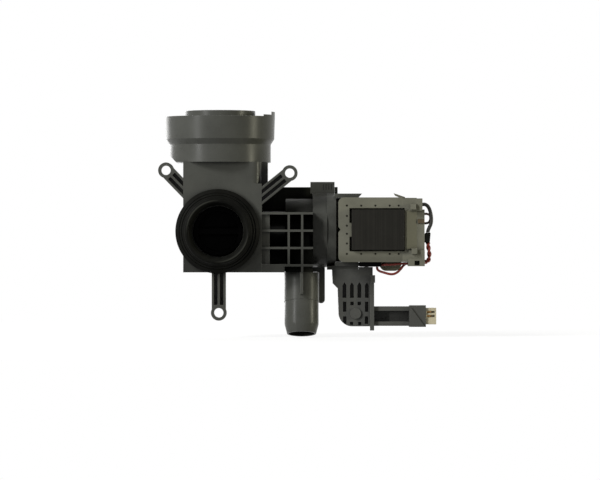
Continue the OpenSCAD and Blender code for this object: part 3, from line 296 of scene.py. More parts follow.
def settled_dust_group():
    """Settled dust: thicker the more a face looks up, in cloudy patches."""
    tree, given, out = group_shell("Settled dust", [("Patches", 120.0)], ["Mask"])
    where = place(tree, "ShaderNodeTexCoord").outputs["Object"]
    face = place(tree, "ShaderNodeNewGeometry").outputs["Normal"]
    up = place(tree, "ShaderNodeSeparateXYZ", {0: face}).outputs["Z"]
    patches = ranged(tree, noise(tree, where, given["Patches"], 6.0, 0.65), 0.38, 0.66)
    put_out(tree, out, Mask=sums(tree, "MULTIPLY", ranged(tree, up, 0.35, 0.95, smooth=True), patches))
    return tree


def fibre_flecks_group():
    """Glass fibre flecks: short bright threads from noise that is drawn out along X."""
    tree, given, out = group_shell("Fibre flecks", [("Threads", 520.0)], ["Mask", "Height"])
    where = place(tree, "ShaderNodeTexCoord").outputs["Object"]
    slant = {"Vector": where, "Rotation": (0.0, 0.5, 0.0), "Scale": (0.22, 1.0, 1.0)}
    threads = noise(tree, place(tree, "ShaderNodeMapping", slant).outputs[0], given["Threads"], 4.0, 0.7)
    put_out(tree, out, Mask=ranged(tree, threads, 0.60, 0.74), Height=threads)
    return tree


def drawn_sheath_group():
    """Drawn sheath: faint waves along a lead's length and a dull bloom round it, on its own UV map."""
    tree, given, out = group_shell("Drawn sheath", [("Waves", 1.6)], ["Height", "Tone"])
    along = place(tree, "ShaderNodeUVMap", uv_map="Lead").outputs[0]
    long_way = place(tree, "ShaderNodeSeparateXYZ", {0: along}).outputs["X"]
    turns = sums(tree, "MULTIPLY", sums(tree, "MULTIPLY", long_way, given["Waves"]), 2 * math.pi)
    waves = ranged(tree, sums(tree, "SINE", turns), -1.0, 1.0)
    bloom = noise(tree, along, 3.2, 4.0, 0.6)
    put_out(tree, out, Height=sums(tree, "ADD", waves, bloom), Tone=bloom)
    return tree


def turned_marks_group():
    """Turning marks: fine rings along X, as a tool or a grinding wheel leaves them."""
    tree, given, out = group_shell("Turned marks", [("Rings", 5200.0)], ["Height", "Tone"])
    where = place(tree, "ShaderNodeTexCoord").outputs["Object"]
    drawn = place(tree, "ShaderNodeMapping", {"Vector": where, "Scale": (1.0, 0.02, 0.02)}).outputs[0]
    rings = noise(tree, drawn, given["Rings"], 2.0, 0.6)
    put_out(tree, out, Height=rings, Tone=noise(tree, where, 160.0, 4.0))
    return tree


def painted_low_shade_group():
    """Painted shade, darker towards the bottom: none above the upper height, most below the lower one, in
    clouds.
    """
    tree, given, out = group_shell("Water stain", [("Dry", -8 * MM), ("Wet", -30 * MM)], ["Mask"])
    where = place(tree, "ShaderNodeTexCoord").outputs["Object"]
    high = place(tree, "ShaderNodeSeparateXYZ", {0: where}).outputs["Z"]
    clouds = ranged(tree, noise(tree, where, 55.0, 4.0, 0.6), 0.25, 0.7, 0.75, 1.0)
    low = ranged(tree, high, given["Dry"], given["Wet"], smooth=True)
    put_out(tree, out, Mask=sums(tree, "MULTIPLY", low, clouds))
    return tree


GROUPS = {
    "grain": moulded_grain_group,
    "edges": worn_and_painted_edges_group,
    "corners": shaded_corners_group,
    "dust": settled_dust_group,
    "fibres": fibre_flecks_group,
    "sheath": drawn_sheath_group,
    "turning": turned_marks_group,
    "low_shade": painted_low_shade_group,
}
built_groups = {}


def effect(tree, name, **values):
    """One of the shared groups in a material, with its own values; built on first use."""
    if name not in built_groups:
        built_groups[name] = GROUPS[name]()
    node = tree.nodes.new("ShaderNodeGroup")
    node.node_tree = built_groups[name]
    for label, value in values.items():
        node.inputs[label].default_value = value
    return node.outputs


def new_finish(name, specular=0.5, metallic=0.0):
    """A material with a bare Principled shader and its uniform values set on the shader."""
    material = bpy.data.materials.new(name)
    material.use_nodes = True
    tree = material.node_tree
    tree.nodes.clear()
    skin = place(tree, "ShaderNodeBsdfPrincipled")
    skin.inputs["Specular IOR Level"].default_value = specular
    skin.inputs["Metallic"].default_value = metallic
    place(tree, "ShaderNodeOutputMaterial", {"Surface": skin.outputs[0]})
    return material, tree, skin


def raise_skin(tree, skin, height, depth, strength):
    """Feeds a height to the shader's normal through a Bump node."""
    sockets = {"Height": height, "Distance": depth, "Strength": strength}
    tree.links.new(place(tree, "ShaderNodeBump", sockets).outputs[0], skin.inputs["Normal"])


def paint(tree, skin, colour, roughness):
    """Feeds a varying colour and roughness to the shader."""
    tree.links.new(colour, skin.inputs["Base Color"])
    tree.links.new(roughness, skin.inputs["Roughness"])


def toned(colour, gain):
    """A colour with alpha, made lighter or darker by a gain."""
    return tuple(min(1.0, max(0.0, c * gain)) for c in colour) + (1.0,)


def between(tree, amount, colour, first, second):
    """A colour whose gain runs from a first to a second by an amount."""
    return blended(tree, amount, toned(colour, first), toned(colour, second))


def moulded_plastic(name, colour, looks, rough=0.31, specular=0.11, grain=1700.0, low_shade=0.0, reach=12 * MM):
    """Moulded plastic: grained skin, cloudy tone, painted shade towards the bottom where one is asked for,
    painted shade in corners, pale edges (partly worn, partly a painted highlight) and a little dust."""
    material, tree, skin = new_finish(name, specular)
    mould = effect(tree, "grain", Grain=grain)
    tone = ranged(tree, mould["Tone"], 0.25, 0.75)
    body = between(tree, tone, colour, 1 - looks.mottle, 1 + looks.mottle)
    # Painted shade: the colour darkens towards the bottom
    if low_shade:
        body = covered(tree, body, effect(tree, "low_shade")["Mask"], low_shade, toned(colour, 0.15))
    # Painted shade: corners and recesses darken by how much of the near sky they hide
    body = covered(tree, body, effect(tree, "corners", Reach=reach)["Mask"], 0.85, toned(colour, 0.1))
    pale = toned([c ** 0.8 for c in colour], 1.5)
    # Pale edges: partly worn, partly a painted highlight
    body = covered(tree, body, effect(tree, "edges")["Mask"], looks.edge_wear_and_highlight, pale)
    dust = sums(tree, "MULTIPLY", effect(tree, "dust")["Mask"], looks.dusting)
    body = blended(tree, dust, body, toned(looks.dust, 1.0))
    dull = ranged(tree, tone, 0.0, 1.0, rough - 0.07, rough + 0.07)
    paint(tree, skin, body, sums(tree, "ADD", dull, dust))
    raise_skin(tree, skin, mould["Height"], 0.04 * MM, 0.55)
    return material


def painted_lip_highlight(tree, crest, half):
    """A painted highlight line on the port's lip, at its upper left and its lower right: how
    near a point's distance from the port's axis is to the crest's."""
    where = place(tree, "ShaderNodeTexCoord").outputs["Object"]
    at = place(tree, "ShaderNodeSeparateXYZ", {0: where}).outputs
    flat = place(tree, "ShaderNodeCombineXYZ", {"X": at["X"], "Z": at["Z"]}).outputs[0]
    away = place(tree, "ShaderNodeVectorMath", {0: flat}, operation="LENGTH").outputs["Value"]
    off = sums(tree, "ABSOLUTE", sums(tree, "SUBTRACT", away, crest))
    aslant = sums(tree, "ABSOLUTE", sums(tree, "SUBTRACT", at["Z"], at["X"]))
    line = sums(tree, "MULTIPLY", ranged(tree, off, half, 0.0), ranged(tree, at["Y"], LIP_BACK, LIP_FRONT))
    return sums(tree, "MULTIPLY", line, ranged(tree, aslant, 0.9 * crest, 1.35 * crest))


def black_rubber(name, colour, looks):
    """Moulded rubber: matt with a pale bloom in clouds, fine pitting, paler edges (partly worn, partly a
    painted highlight) and a painted highlight line on the lip.
    """
    material, tree, skin = new_finish(name, specular=0.03)
    mould = effect(tree, "grain", Grain=1200.0, Clouds=60.0)
    bloom = ranged(tree, mould["Tone"], 0.35, 0.75)
    body = between(tree, bloom, colour, 0.8, 1.7)
    # Paler edges: partly worn, partly a painted highlight
    body = covered(tree, body, effect(tree, "edges", Width=1.2 * MM)["Mask"], 0.35, toned(colour, 3.0))
    # Painted highlight: a thin bright line on the sleeve's lip at the upper left and the lower right
    body = blended(tree, painted_lip_highlight(tree, looks.lip, 0.8 * MM), body, toned(colour, 9.0))
    dust = effect(tree, "dust", Patches=260.0)["Mask"]
    body = covered(tree, body, dust, 0.4 * looks.dusting, toned(looks.dust, 0.6))
    paint(tree, skin, body, ranged(tree, bloom, 0.0, 1.0, 0.42, 0.58))
    raise_skin(tree, skin, mould["Height"], 0.06 * MM, 0.5)
    return material


def fibre_filled_plastic(name, colour, looks, edge_wear_and_highlight, low_shade=0.0):
    """Glass-filled plastic: beige grey with clouds, fibre threads, painted shade towards the bottom where one
    is asked for, painted shade in corners and chalky edges (partly worn, partly a painted highlight)."""
    material, tree, skin = new_finish(name, specular=0.09)
    mould = effect(tree, "grain", Grain=1500.0, Clouds=46.0)
    fibres = effect(tree, "fibres")
    tone = ranged(tree, mould["Tone"], 0.25, 0.75)
    body = between(tree, tone, colour, 1 - looks.mottle, 1 + looks.mottle)
    body = covered(tree, body, fibres["Mask"], 0.3, toned(colour, 1.45))
    # Painted shade: the coil frame darkens towards its lower bar
    if low_shade:
        shade_below = effect(tree, "low_shade", Dry=-16 * MM, Wet=-25 * MM)["Mask"]
        body = covered(tree, body, shade_below, low_shade, toned(colour, 0.35))
    # Painted shade in the corners
    body = covered(tree, body, effect(tree, "corners", Reach=6 * MM)["Mask"], 0.75, toned(colour, 0.15))
    # Chalky edges: partly worn, partly a painted highlight
    body = covered(tree, body, effect(tree, "edges", Width=0.6 * MM)["Mask"], edge_wear_and_highlight, toned(colour, 1.7))
    paint(tree, skin, body, ranged(tree, tone, 0.0, 1.0, 0.42, 0.58))
    both = sums(tree, "ADD", sums(tree, "MULTIPLY", fibres["Height"], 0.6), mould["Height"])
    raise_skin(tree, skin, both, 0.05 * MM, 0.5)
    return material


def stacked_sheets(name, colour):
    """Stator core: half-millimetre sheets stacked along X, dark varnish that pools in the joints."""
    material, tree, skin = new_finish(name, specular=0.07)
    where = place(tree, "ShaderNodeTexCoord").outputs["Object"]
    across = place(tree, "ShaderNodeSeparateXYZ", {0: where}).outputs["X"]
    count = sums(tree, "MULTIPLY", across, SHEETS_PER_METRE)
    off_middle = sums(tree, "ABSOLUTE", sums(tree, "SUBTRACT", sums(tree, "FRACT", count), 0.5))
    joint = ranged(tree, off_middle, 0.32, 0.5)
    clouds = noise(tree, where, 90.0, 5.0, 0.6)
    own = sums(tree, "MULTIPLY", own_value(tree, count), 0.5)
    tone = sums(tree, "ADD", own, sums(tree, "MULTIPLY", clouds, 0.6))
    body = between(tree, ranged(tree, tone, 0.2, 0.9), colour, 0.8, 1.25)
    body = covered(tree, body, joint, 0.35, toned(colour, 0.4))
    # Paler sheet edges: partly worn, partly a painted highlight
    body = covered(tree, body, effect(tree, "edges", Width=0.6 * MM)["Mask"], 0.2, toned(colour, 2.0))
    paint(tree, skin, body, ranged(tree, clouds, 0.3, 0.7, 0.34, 0.52))
    height = sums(tree, "SUBTRACT", sums(tree, "MULTIPLY", clouds, 0.3), joint)
    raise_skin(tree, skin, height, 0.05 * MM, 0.4)
    return material


def bare_metal(name, colour, rough, rings):
    """Turned or ground metal: fine rings along X, tarnish in clouds and bright edges, partly worn and partly
    a painted highlight.
    """
    material, tree, skin = new_finish(name, metallic=1.0)
    marks = effect(tree, "turning", Rings=rings)
    tarnish = ranged(tree, marks["Tone"], 0.3, 0.75)
    body = between(tree, tarnish, colour, 1.08, 0.72)
    # Bright edges: partly worn, partly a painted highlight
    body = covered(tree, body, effect(tree, "edges", Width=0.4 * MM)["Mask"], 0.2, toned(colour, 1.4))
    paint(tree, skin, body, ranged(tree, tarnish, 0.0, 1.0, rough - 0.08, rough + 0.12))
    raise_skin(tree, skin, marks["Height"], 0.03 * MM, 0.5)
    return material


def dull_solid(name, colour, rough, grain, depth):
    """Sintered or pressed material: open pores, specks and clouds."""
    material, tree, skin = new_finish(name, specular=0.35)
    mould = effect(tree, "grain", Grain=grain, Clouds=70.0)
    tone = ranged(tree, mould["Tone"], 0.25, 0.75)
    dull = ranged(tree, tone, 0.0, 1.0, rough - 0.1, rough + 0.1)
    paint(tree, skin, between(tree, tone, colour, 0.75, 1.3), dull)
    raise_skin(tree, skin, mould["Height"], depth, 0.7)
    return material


def enamelled_wire(name, colour):
    """Winding wire: a tone for each half millimetre along the coil and a clear enamel coat."""
    material, tree, skin = new_finish(name, metallic=0.85)
    skin.inputs["Coat Weight"].default_value = 0.4
    skin.inputs["Coat Roughness"].default_value = 0.15
    where = place(tree, "ShaderNodeTexCoord").outputs["Object"]
    along = place(tree, "ShaderNodeSeparateXYZ", {0: where}).outputs["Y"]
    own = own_value(tree, sums(tree, "MULTIPLY", along, WIRE_TONES_PER_METRE))
    clouds = noise(tree, where, 140.0, 4.0)
    tone = sums(tree, "ADD", sums(tree, "MULTIPLY", own, 0.5), sums(tree, "MULTIPLY", clouds, 0.5))
    dull = ranged(tree, clouds, 0.3, 0.7, 0.24, 0.42)
    paint(tree, skin, between(tree, tone, colour, 0.7, 1.25), dull)
    return material


def lead_sheath(name, colour):
    """Soft sheath of a lead: faint drawing waves and a dull bloom along its length."""
    material, tree, skin = new_finish(name, specular=0.3)
    sheath = effect(tree, "sheath")
    tone = ranged(tree, sheath["Tone"], 0.3, 0.72)
    dull = ranged(tree, tone, 0.0, 1.0, 0.36, 0.56)
    paint(tree, skin, between(tree, tone, colour, 0.72, 1.3), dull)
    raise_skin(tree, skin, sheath["Height"], 0.04 * MM, 0.6)
    return material


built_finishes = {}


def finish_of(slot, looks):
    """The material of a record's slot, or of a piece with a finish of its own; built on first use."""
    grey, beige = looks.housing, looks.coil_frame
    makers = {
        "housing_plastic": lambda: moulded_plastic("Housing grey", grey, looks),
        # Housing grey with painted shade towards the bottom
        "housing_painted_low_shade": lambda: moulded_plastic("Stained housing", grey, looks, low_shade=looks.low_shade),
        # Painted shade: a long reach darkens the casing's recesses, as well as towards the bottom
        "casing": lambda: moulded_plastic(
            "Casing grey", grey, looks, rough=0.45, specular=0.02, low_shade=looks.low_shade, reach=35 * MM),
        "bracket": lambda: moulded_plastic("Bracket grey", looks.bracket, looks),
        "rubber": lambda: black_rubber("Sleeve rubber", looks.rubber, looks),
        "black_plastic": lambda: moulded_plastic(
            "Filter black", looks.filter_black, looks, rough=0.5, specular=0.02),
        "frame_plastic": lambda: fibre_filled_plastic("Cap beige", beige, looks, looks.edge_wear_and_highlight),
        # Painted shade towards the bottom of the coil frame
        "coil_frame": lambda: fibre_filled_plastic(
            "Coil frame beige", beige, looks, edge_wear_and_highlight=0.2 * looks.edge_wear_and_highlight, low_shade=0.8 * looks.low_shade),
        "ivory_plastic": lambda: moulded_plastic(
            "Connector ivory", looks.ivory, looks, rough=0.34, specular=0.45, grain=2200.0),
        "impeller_plastic": lambda: moulded_plastic("Impeller off-white", looks.impeller, looks, rough=0.4),
        "laminated_steel": lambda: stacked_sheets("Stacked core sheets", looks.core),
        "steel": lambda: bare_metal("Ground steel", looks.steel, rough=0.26, rings=5200.0),
        "brass": lambda: bare_metal("Stamped brass", looks.brass, rough=0.36, rings=2600.0),
        "tarnished": lambda: bare_metal("Tarnished blades", looks.tarnish, rough=0.48, rings=2600.0),
        "sintered_bronze": lambda: dull_solid(
            "Sintered bronze", looks.bronze, rough=0.5, grain=2600.0, depth=0.08 * MM),
        "ferrite": lambda: dull_solid(
            "Pressed ferrite", looks.ferrite, rough=0.6, grain=1500.0, depth=0.06 * MM),
        "copper": lambda: enamelled_wire("Enamelled copper", looks.copper),
        "black_insulation": lambda: lead_sheath("Black sheath", looks.black_sheath),
        "brown_insulation": lambda: lead_sheath("Brown sheath", looks.brown_sheath),
        "red_insulation": lambda: lead_sheath("Red sheath", looks.red_sheath),
    }
    if slot not in built_finishes:
        built_finishes[slot] = makers[slot]()
    return built_finishes[slot]


# Shapes

# Corners nearer than the gap merge, faces that turn less than the flat angle join, and an edge that turns
# more than the crease is broken
MERGE_GAP = 2e-6
FLAT_ANGLE = math.radians(0.4)
CREASE = math.radians(28)
# An edge of a tube or a winding that turns more than this is shaded sharp
TUBE_CREASE = math.radians(50)
COIL_CREASE = math.radians(40)
# Points on each stretch of a lead's route
ROUTE_STEPS = 8
# A twisted pair: the strands' distance from the route in strand radii, their turns and their sides
STRAND_OFFSET = 0.97
STRAND_TURNS = 2.25
STRAND_SIDES = 16
# A winding: turns of wire along it, rows for each turn, columns round it, corner, depth and swell
COIL_TURNS = 38
ROWS_PER_TURN = 6
COIL_COLUMNS = 72
COIL_ROUND = 2.2 * MM
COIL_DEPTH = 3.1 * MM
COIL_SWELL = 0.1 * MM


def add_piece(name, mesh, node, material):
    """Puts a mesh into the scene in place of a node, riding on the node's body with its slot's finish."""
    mesh.materials.clear()
    mesh.materials.append(material)
    piece = bpy.data.objects.new(name, mesh)
    bpy.context.scene.collection.objects.link(piece)
    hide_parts(node)
    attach(piece, BODY_OF[node])
    return piece


def softened(node, edge, looks, slot=None, steps=2):
    """A node's solid with merged corners, flat faces joined, and a rounded bevel along each sharp edge."""
    source = frame["nodes"][node].data
    points = np.empty(3 * len(source.vertices), np.float32)
    source.vertices.foreach_get("co", points)
    corners = np.empty(len(source.loops), np.int32)
    source.loops.foreach_get("vertex_index", corners)
    mesh = bpy.data.meshes.new(f"{node}_skin")
    mesh.from_pydata(points.reshape(-1, 3), [], corners.reshape(-1, 3))
    form = bmesh.new()
    form.from_mesh(mesh)
    bmesh.ops.remove_doubles(form, verts=form.verts, dist=MERGE_GAP)
    bmesh.ops.dissolve_limit(form, angle_limit=FLAT_ANGLE, verts=form.verts, edges=form.edges)
    form.to_mesh(mesh)
    form.free()
    mesh.shade_smooth()
    mesh.set_sharp_from_angle(angle=CREASE)
    piece = add_piece(f"{node}_skin", mesh, node, finish_of(slot or SLOT_OF[node], looks))
    bevel = piece.modifiers.new("Broken edges", "BEVEL")
    bevel.width = edge
    bevel.segments = steps
    bevel.limit_method = "ANGLE"
    bevel.angle_limit = CREASE
    bevel.harden_normals = True


def smooth_route(points):
    """A curve through the points: on each stretch b to c, with a before and d after it,
    half of 2b + (c-a)t + (2a-5b+4c-d)t^2 + (3b-a-3c+d)t^3, in metres."""
    p = np.asarray(points, float) * MM
    q = np.vstack([2 * p[0] - p[1], p, 2 * p[-1] - p[-2]])
    t = np.linspace(0, 1, ROUTE_STEPS, endpoint=False)[None, :, None]
    a, b, c, d = (q[i : len(q) - 3 + i, None, :] for i in range(4))
    curve = 0.5 * (2 * b + (c - a) * t + (2 * a - 5 * b + 4 * c - d) * t**2 + (3 * b - a - 3 * c + d) * t**3)
    return np.vstack([curve.reshape(-1, 3), p[-1:]])


def square_axes(path, side):
    """Two axes square to a path at each point: its direction crossed with a side direction, and once more."""
    heading = np.gradient(path, axis=0)
    heading /= np.linalg.norm(heading, axis=1, keepdims=True)
    first = np.cross(heading, side)
    first /= np.linalg.norm(first, axis=1, keepdims=True)
    return first, np.cross(heading, first)


def strand_path(path, radius, side, turns, start):
    """A strand that winds round a path: the path plus radius times (cos w, sin w) on its square axes,
    where w runs from the start angle through a number of turns."""
    first, second = square_axes(path, side)
    w = (start + 2 * math.pi * turns * np.linspace(0, 1, len(path)))[:, None]
    return path + radius * (np.cos(w) * first + np.sin(w) * second)


def tube_mesh(name, path, radius, side, sides=20):
    """A round tube: at each point of the path a circle, radius times (cos v, sin v) on the path's square
    axes. Its UV map 'Lead' has the length in diameters and the turn round the tube."""
    first, second = square_axes(path, side)
    v = np.linspace(0, 2 * math.pi, sides, endpoint=False)[None, :, None]
    rings = path[:, None, :] + radius * (np.cos(v) * first[:, None, :] + np.sin(v) * second[:, None, :])
    rows = len(path)
    i, k = np.meshgrid(np.arange(rows - 1), np.arange(sides), indexing="ij")
    m = (k + 1) % sides
    here, there = i * sides, (i + 1) * sides
    quads = np.stack([here + k, here + m, there + m, there + k], -1).reshape(-1, 4)
    ends = [list(range(sides))[::-1], list(range((rows - 1) * sides, rows * sides))]
    mesh = bpy.data.meshes.new(name)
    mesh.from_pydata(rings.reshape(-1, 3), [], quads.tolist() + ends)
    far = np.concatenate([[0], np.cumsum(np.linalg.norm(np.diff(path, axis=0), axis=1))]) / (2 * radius)
    turn = np.stack([k, k + 1, k + 1, k], -1).reshape(-1) / sides
    along = far[np.stack([i, i, i + 1, i + 1], -1).reshape(-1)]
    flat = np.zeros((len(mesh.loops), 2), np.float32)
    flat[: len(turn)] = np.stack([along, turn], -1)
    flat[len(turn) + sides :, 0] = far[-1]
    mesh.uv_layers.new(name="Lead").data.foreach_set("uv", flat.ravel())
    mesh.shade_smooth()
    mesh.set_sharp_from_angle(angle=TUBE_CREASE)
    return mesh


def lay_lead(node, route, radius, side, looks):
    """A lead in place of its faceted solid."""
    path = smooth_route(route)
    piece = add_piece(f"{node}_tube", tube_mesh(f"{node}_tube", path, radius, side), node,
                      finish_of(SLOT_OF[node], looks))


def lay_twisted_pair(node, route, radius, side, looks):
    """Two strands of a radius that wind round each other on a lead's route."""
    path = smooth_route(route)
    form = bmesh.new()
    for start in (0.0, math.pi):
        wound = strand_path(path, STRAND_OFFSET * radius, side, STRAND_TURNS, start)
        strand = tube_mesh(f"{node}_strand", wound, radius, side, STRAND_SIDES)
        form.from_mesh(strand)
        bpy.data.meshes.remove(strand)
    mesh = bpy.data.meshes.new(f"{node}_pair")
    form.to_mesh(mesh)
    form.free()
    add_piece(f"{node}_pair", mesh, node, finish_of(SLOT_OF[node], looks))


def wound_coil(node, looks):
    """A winding: a rounded rectangle round the core's leg, carried along Y from the node's front to its
    back. With half size h, corner r and swell o, x is sign(cos a)(h - r) + (r + o) cos a, and z the same
    with sin a, where o is the depth of a swell times |sin(pi turns s)| - 1 at the share s of the way.
    The skin runs out along this outside and back along the inside, which lies on the bobbin."""
    low, high = (np.array(corner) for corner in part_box(node))
    middle, half = (low + high) / 2, (high - low) / 2
    inner_x, inner_z = half[0] - COIL_DEPTH, half[2] - COIL_DEPTH
    s = np.linspace(0, 1, COIL_TURNS * ROWS_PER_TURN + 1)
    swell = COIL_SWELL * (np.abs(np.sin(math.pi * COIL_TURNS * s)) - 1)
    offset = np.concatenate([swell, [-COIL_DEPTH, -COIL_DEPTH]])[:, None]
    y = np.concatenate([low[1] + (high[1] - low[1]) * s, [high[1], low[1]]])[:, None]
    a = np.linspace(0, 2 * math.pi, COIL_COLUMNS, endpoint=False)
    at_x = np.sign(np.cos(a)) * (half[0] - COIL_ROUND) + COIL_ROUND * np.cos(a)
    at_z = np.sign(np.sin(a)) * (half[2] - COIL_ROUND) + COIL_ROUND * np.sin(a)
    inside = offset < -COIL_DEPTH / 2
    x = middle[0] + np.where(inside, np.clip(at_x, -inner_x, inner_x), at_x + offset * np.cos(a))
    z = middle[2] + np.where(inside, np.clip(at_z, -inner_z, inner_z), at_z + offset * np.sin(a))
    grid = np.stack([x, np.broadcast_to(y, x.shape), z], -1)
    add_piece(f"{node}_turns", ring_mesh(f"{node}_turns", grid), node, finish_of(SLOT_OF[node], looks))


def ring_mesh(name, grid):
    """A closed ring from a grid of points: both ways round join up."""
    rows, columns = grid.shape[:2]
    i, k = np.meshgrid(np.arange(rows), np.arange(columns), indexing="ij")
    n, m = (i + 1) % rows, (k + 1) % columns
    quads = np.stack([i * columns + k, n * columns + k, n * columns + m, i * columns + m], -1).reshape(-1, 4)
    mesh = bpy.data.meshes.new(name)
    mesh.from_pydata(grid.reshape(-1, 3), [], quads.tolist())
    form = bmesh.new()
    form.from_mesh(mesh)
    bmesh.ops.recalc_face_normals(form, faces=form.faces)
    form.to_mesh(mesh)
    form.free()
    mesh.shade_smooth()
    mesh.set_sharp_from_angle(angle=COIL_CREASE)
    return mesh


# Stage

# The point that the softboxes look at, above the floor's middle
MIDDLE = (0.07, 0.03, 0.0)
# Each softbox's place, size and colour; its power is the stage setting of the same name
LAMPS = {
    "key": ((-1.54, -1.14, 1.38), (0.7, 0.7), (1, 1, 1)),
    "left": ((-1.46, -1.26, 0.30), (0.10, 0.65), (1, 1, 1)),
    "right": ((2.01, -0.45, 0.22), (0.10, 0.5), (1, 0.97, 0.76)),
    "back": ((0.75, 1.55, 1.35), (1.2, 1.2), (1, 1, 1)),
    "rear": ((-0.75, 1.95, 0.45), (1.5, 1.3), (1, 1, 1)),
}
# The floor reaches this far, lies this far below the pump and has this many corners and this grey
FLOOR_RADIUS = 0.7
FLOOR_DROP = 0.5 * MM
FLOOR_CORNERS = 96
FLOOR_GREY = (0.22, 0.22, 0.22, 1)
# The camera's place across and up, its sensor's width in millimetres and how far it sees
EYE_ACROSS, EYE_UP = 0.0722, -0.0076
SENSOR_WIDTH = 36
CLIP_END = 50


def soft_light(name, place_at, size, watts, colour):
    """A flat softbox that looks at the pump's middle."""
    lamp = bpy.data.lights.new(name, "AREA")
    lamp.shape = "RECTANGLE"
    lamp.size, lamp.size_y = size
    lamp.energy = watts
    lamp.color = colour
    box = bpy.data.objects.new(name, lamp)
    bpy.context.scene.collection.objects.link(box)
    away = np.array(place_at) - np.array(MIDDLE)
    flat = math.hypot(away[0], away[1])
    box.location = place_at
    box.rotation_euler = (math.atan2(flat, away[2]), 0.0, math.atan2(away[1], away[0]) + math.pi / 2)


def seen_directly(tree):
    """1 for rays that look straight at a surface, in a mirror or through glass, and 0 for light."""
    path = place(tree, "ShaderNodeLightPath").outputs
    mirrored = sums(tree, "MAXIMUM", path["Is Glossy Ray"], path["Is Transmission Ray"])
    return sums(tree, "MAXIMUM", path["Is Camera Ray"], mirrored)


def pale_floor(brightness):
    """A round floor under the pump, white to the eye and clear from below, that keeps the pump's shadow:
    the circle of points radius times (cos a, sin a) about the middle, just below the lowest point."""
    a = np.linspace(0, 2 * math.pi, FLOOR_CORNERS, endpoint=False)
    height = np.full_like(a, CAD_LOW.z - FLOOR_DROP)
    rim = np.stack([MIDDLE[0] + FLOOR_RADIUS * np.cos(a), MIDDLE[1] + FLOOR_RADIUS * np.sin(a), height], -1)
    mesh = bpy.data.meshes.new("floor")
    mesh.from_pydata(rim, [], [list(range(FLOOR_CORNERS))])
    material = bpy.data.materials.new("Pale floor")
    material.use_nodes = True
    tree = material.node_tree
    tree.nodes.clear()
    matt = place(tree, "ShaderNodeBsdfDiffuse", {"Color": FLOOR_GREY})
    strength = sums(tree, "MULTIPLY", seen_directly(tree), brightness)
    glow = place(tree, "ShaderNodeEmission", {"Strength": strength})
    both = place(tree, "ShaderNodeAddShader", {0: matt.outputs[0], 1: glow.outputs[0]})
    under = place(tree, "ShaderNodeNewGeometry").outputs["Backfacing"]
    clear = place(tree, "ShaderNodeBsdfTransparent")
    seen = place(tree, "ShaderNodeMixShader", {0: under, 1: both.outputs[0], 2: clear.outputs[0]})
    place(tree, "ShaderNodeOutputMaterial", {"Surface": seen.outputs[0]})
    mesh.materials.append(material)
    floor = bpy.data.objects.new("floor", mesh)
    bpy.context.scene.collection.objects.link(floor)


def white_surround(ambient):
    """White all round to the eye, and an even soft light on the pump."""
    world = bpy.data.worlds.new("White surround")
    bpy.context.scene.world = world
    world.use_nodes = True
    tree = world.node_tree
    tree.nodes.clear()
    strength = ranged(tree, seen_directly(tree), 0.0, 1.0, ambient, 1.0)
    sky = place(tree, "ShaderNodeBackground", {"Color": (1, 1, 1, 1), "Strength": strength})
    place(tree, "ShaderNodeOutputWorld", {"Surface": sky.outputs[0]})


class Dressing:
    """What the operators share: their options and the settings that they read"""

    bl_options = {"REGISTER"}

    @staticmethod
    def settings(context):
        scene = context.scene
        return scene.drain_pump_finishes, scene.drain_pump_edges, scene.drain_pump_stage


class DRAINPUMP_OT_stage(Dressing, bpy.types.Operator):
    """Sets the floor, the lights, the surround and the camera"""

    bl_idname = "drain_pump.stage"
    bl_label = "Stage"

    def execute(self, context):
        stage = self.settings(context)[2]
        pale_floor(stage.glow)
        white_surround(stage.ambient)
        for name, (place_at, size, colour) in LAMPS.items():
            soft_light(name, place_at, size, getattr(stage, name), colour)
        camera = bpy.data.cameras.new("front")
        camera.lens = stage.lens
        camera.sensor_width = SENSOR_WIDTH
        camera.clip_end = CLIP_END
        eye = bpy.data.objects.new("front", camera)
        eye.location = (EYE_ACROSS, -stage.distance, EYE_UP)
        eye.rotation_euler = (math.pi / 2, 0, 0)
        context.scene.collection.objects.link(eye)
        context.scene.camera = eye
        context.scene.view_settings.view_transform = "Standard"
        return {"FINISHED"}


class DRAINPUMP_OT_leads(Dressing, bpy.types.Operator):
    """Lays the leads and the harness sleeve on their routes"""

    bl_idname = "drain_pump.leads"
    bl_label = "Leads"

    def execute(self, context):
        looks = self.settings(context)[0]
        level, across, slanting = (0, 1, 0), (0, 0, 1), (1, 1, 1)
        thin, thick, sleeve = 1.05 * MM, 1.6 * MM, 2 * MM
        strand = 0.95 * thin
        lay_lead("black_lead", BLACK_LEAD, thick, level, looks)
        lay_lead("brown_lead", BROWN_LEAD, thin, across, looks)
        lay_twisted_pair("red_lead_loop", RED_LEAD_LOOP, strand, level, looks)
        lay_lead("upper_red_lead", UPPER_RED_LEAD, thin, level, looks)
        lay_lead("lower_red_lead", LOWER_RED_LEAD, thin, level, looks)
        lay_lead("harness_sleeve", HARNESS, sleeve, slanting, looks)
        return {"FINISHED"}


class DRAINPUMP_OT_filter_housing(Dressing, bpy.types.Operator):
    """Dresses the filter housing, its tubes, the inlet collar and the mounting ears"""

    bl_idname = "drain_pump.filter_housing"
    bl_label = "Filter housing"

    def execute(self, context):
        looks, edges, _ = self.settings(context)
        # Its finish has painted shade towards the bottom
        softened("filter_housing", edges.housing, looks, slot="housing_painted_low_shade")
        for node in ("inlet_tube", "port_nozzle", "inlet_collar"):
            softened(node, edges.housing, looks)
        for node in ("left_mounting_ear", "right_mounting_ear", "lower_mounting_ear"):
            softened(node, edges.fine, looks)
        return {"FINISHED"}


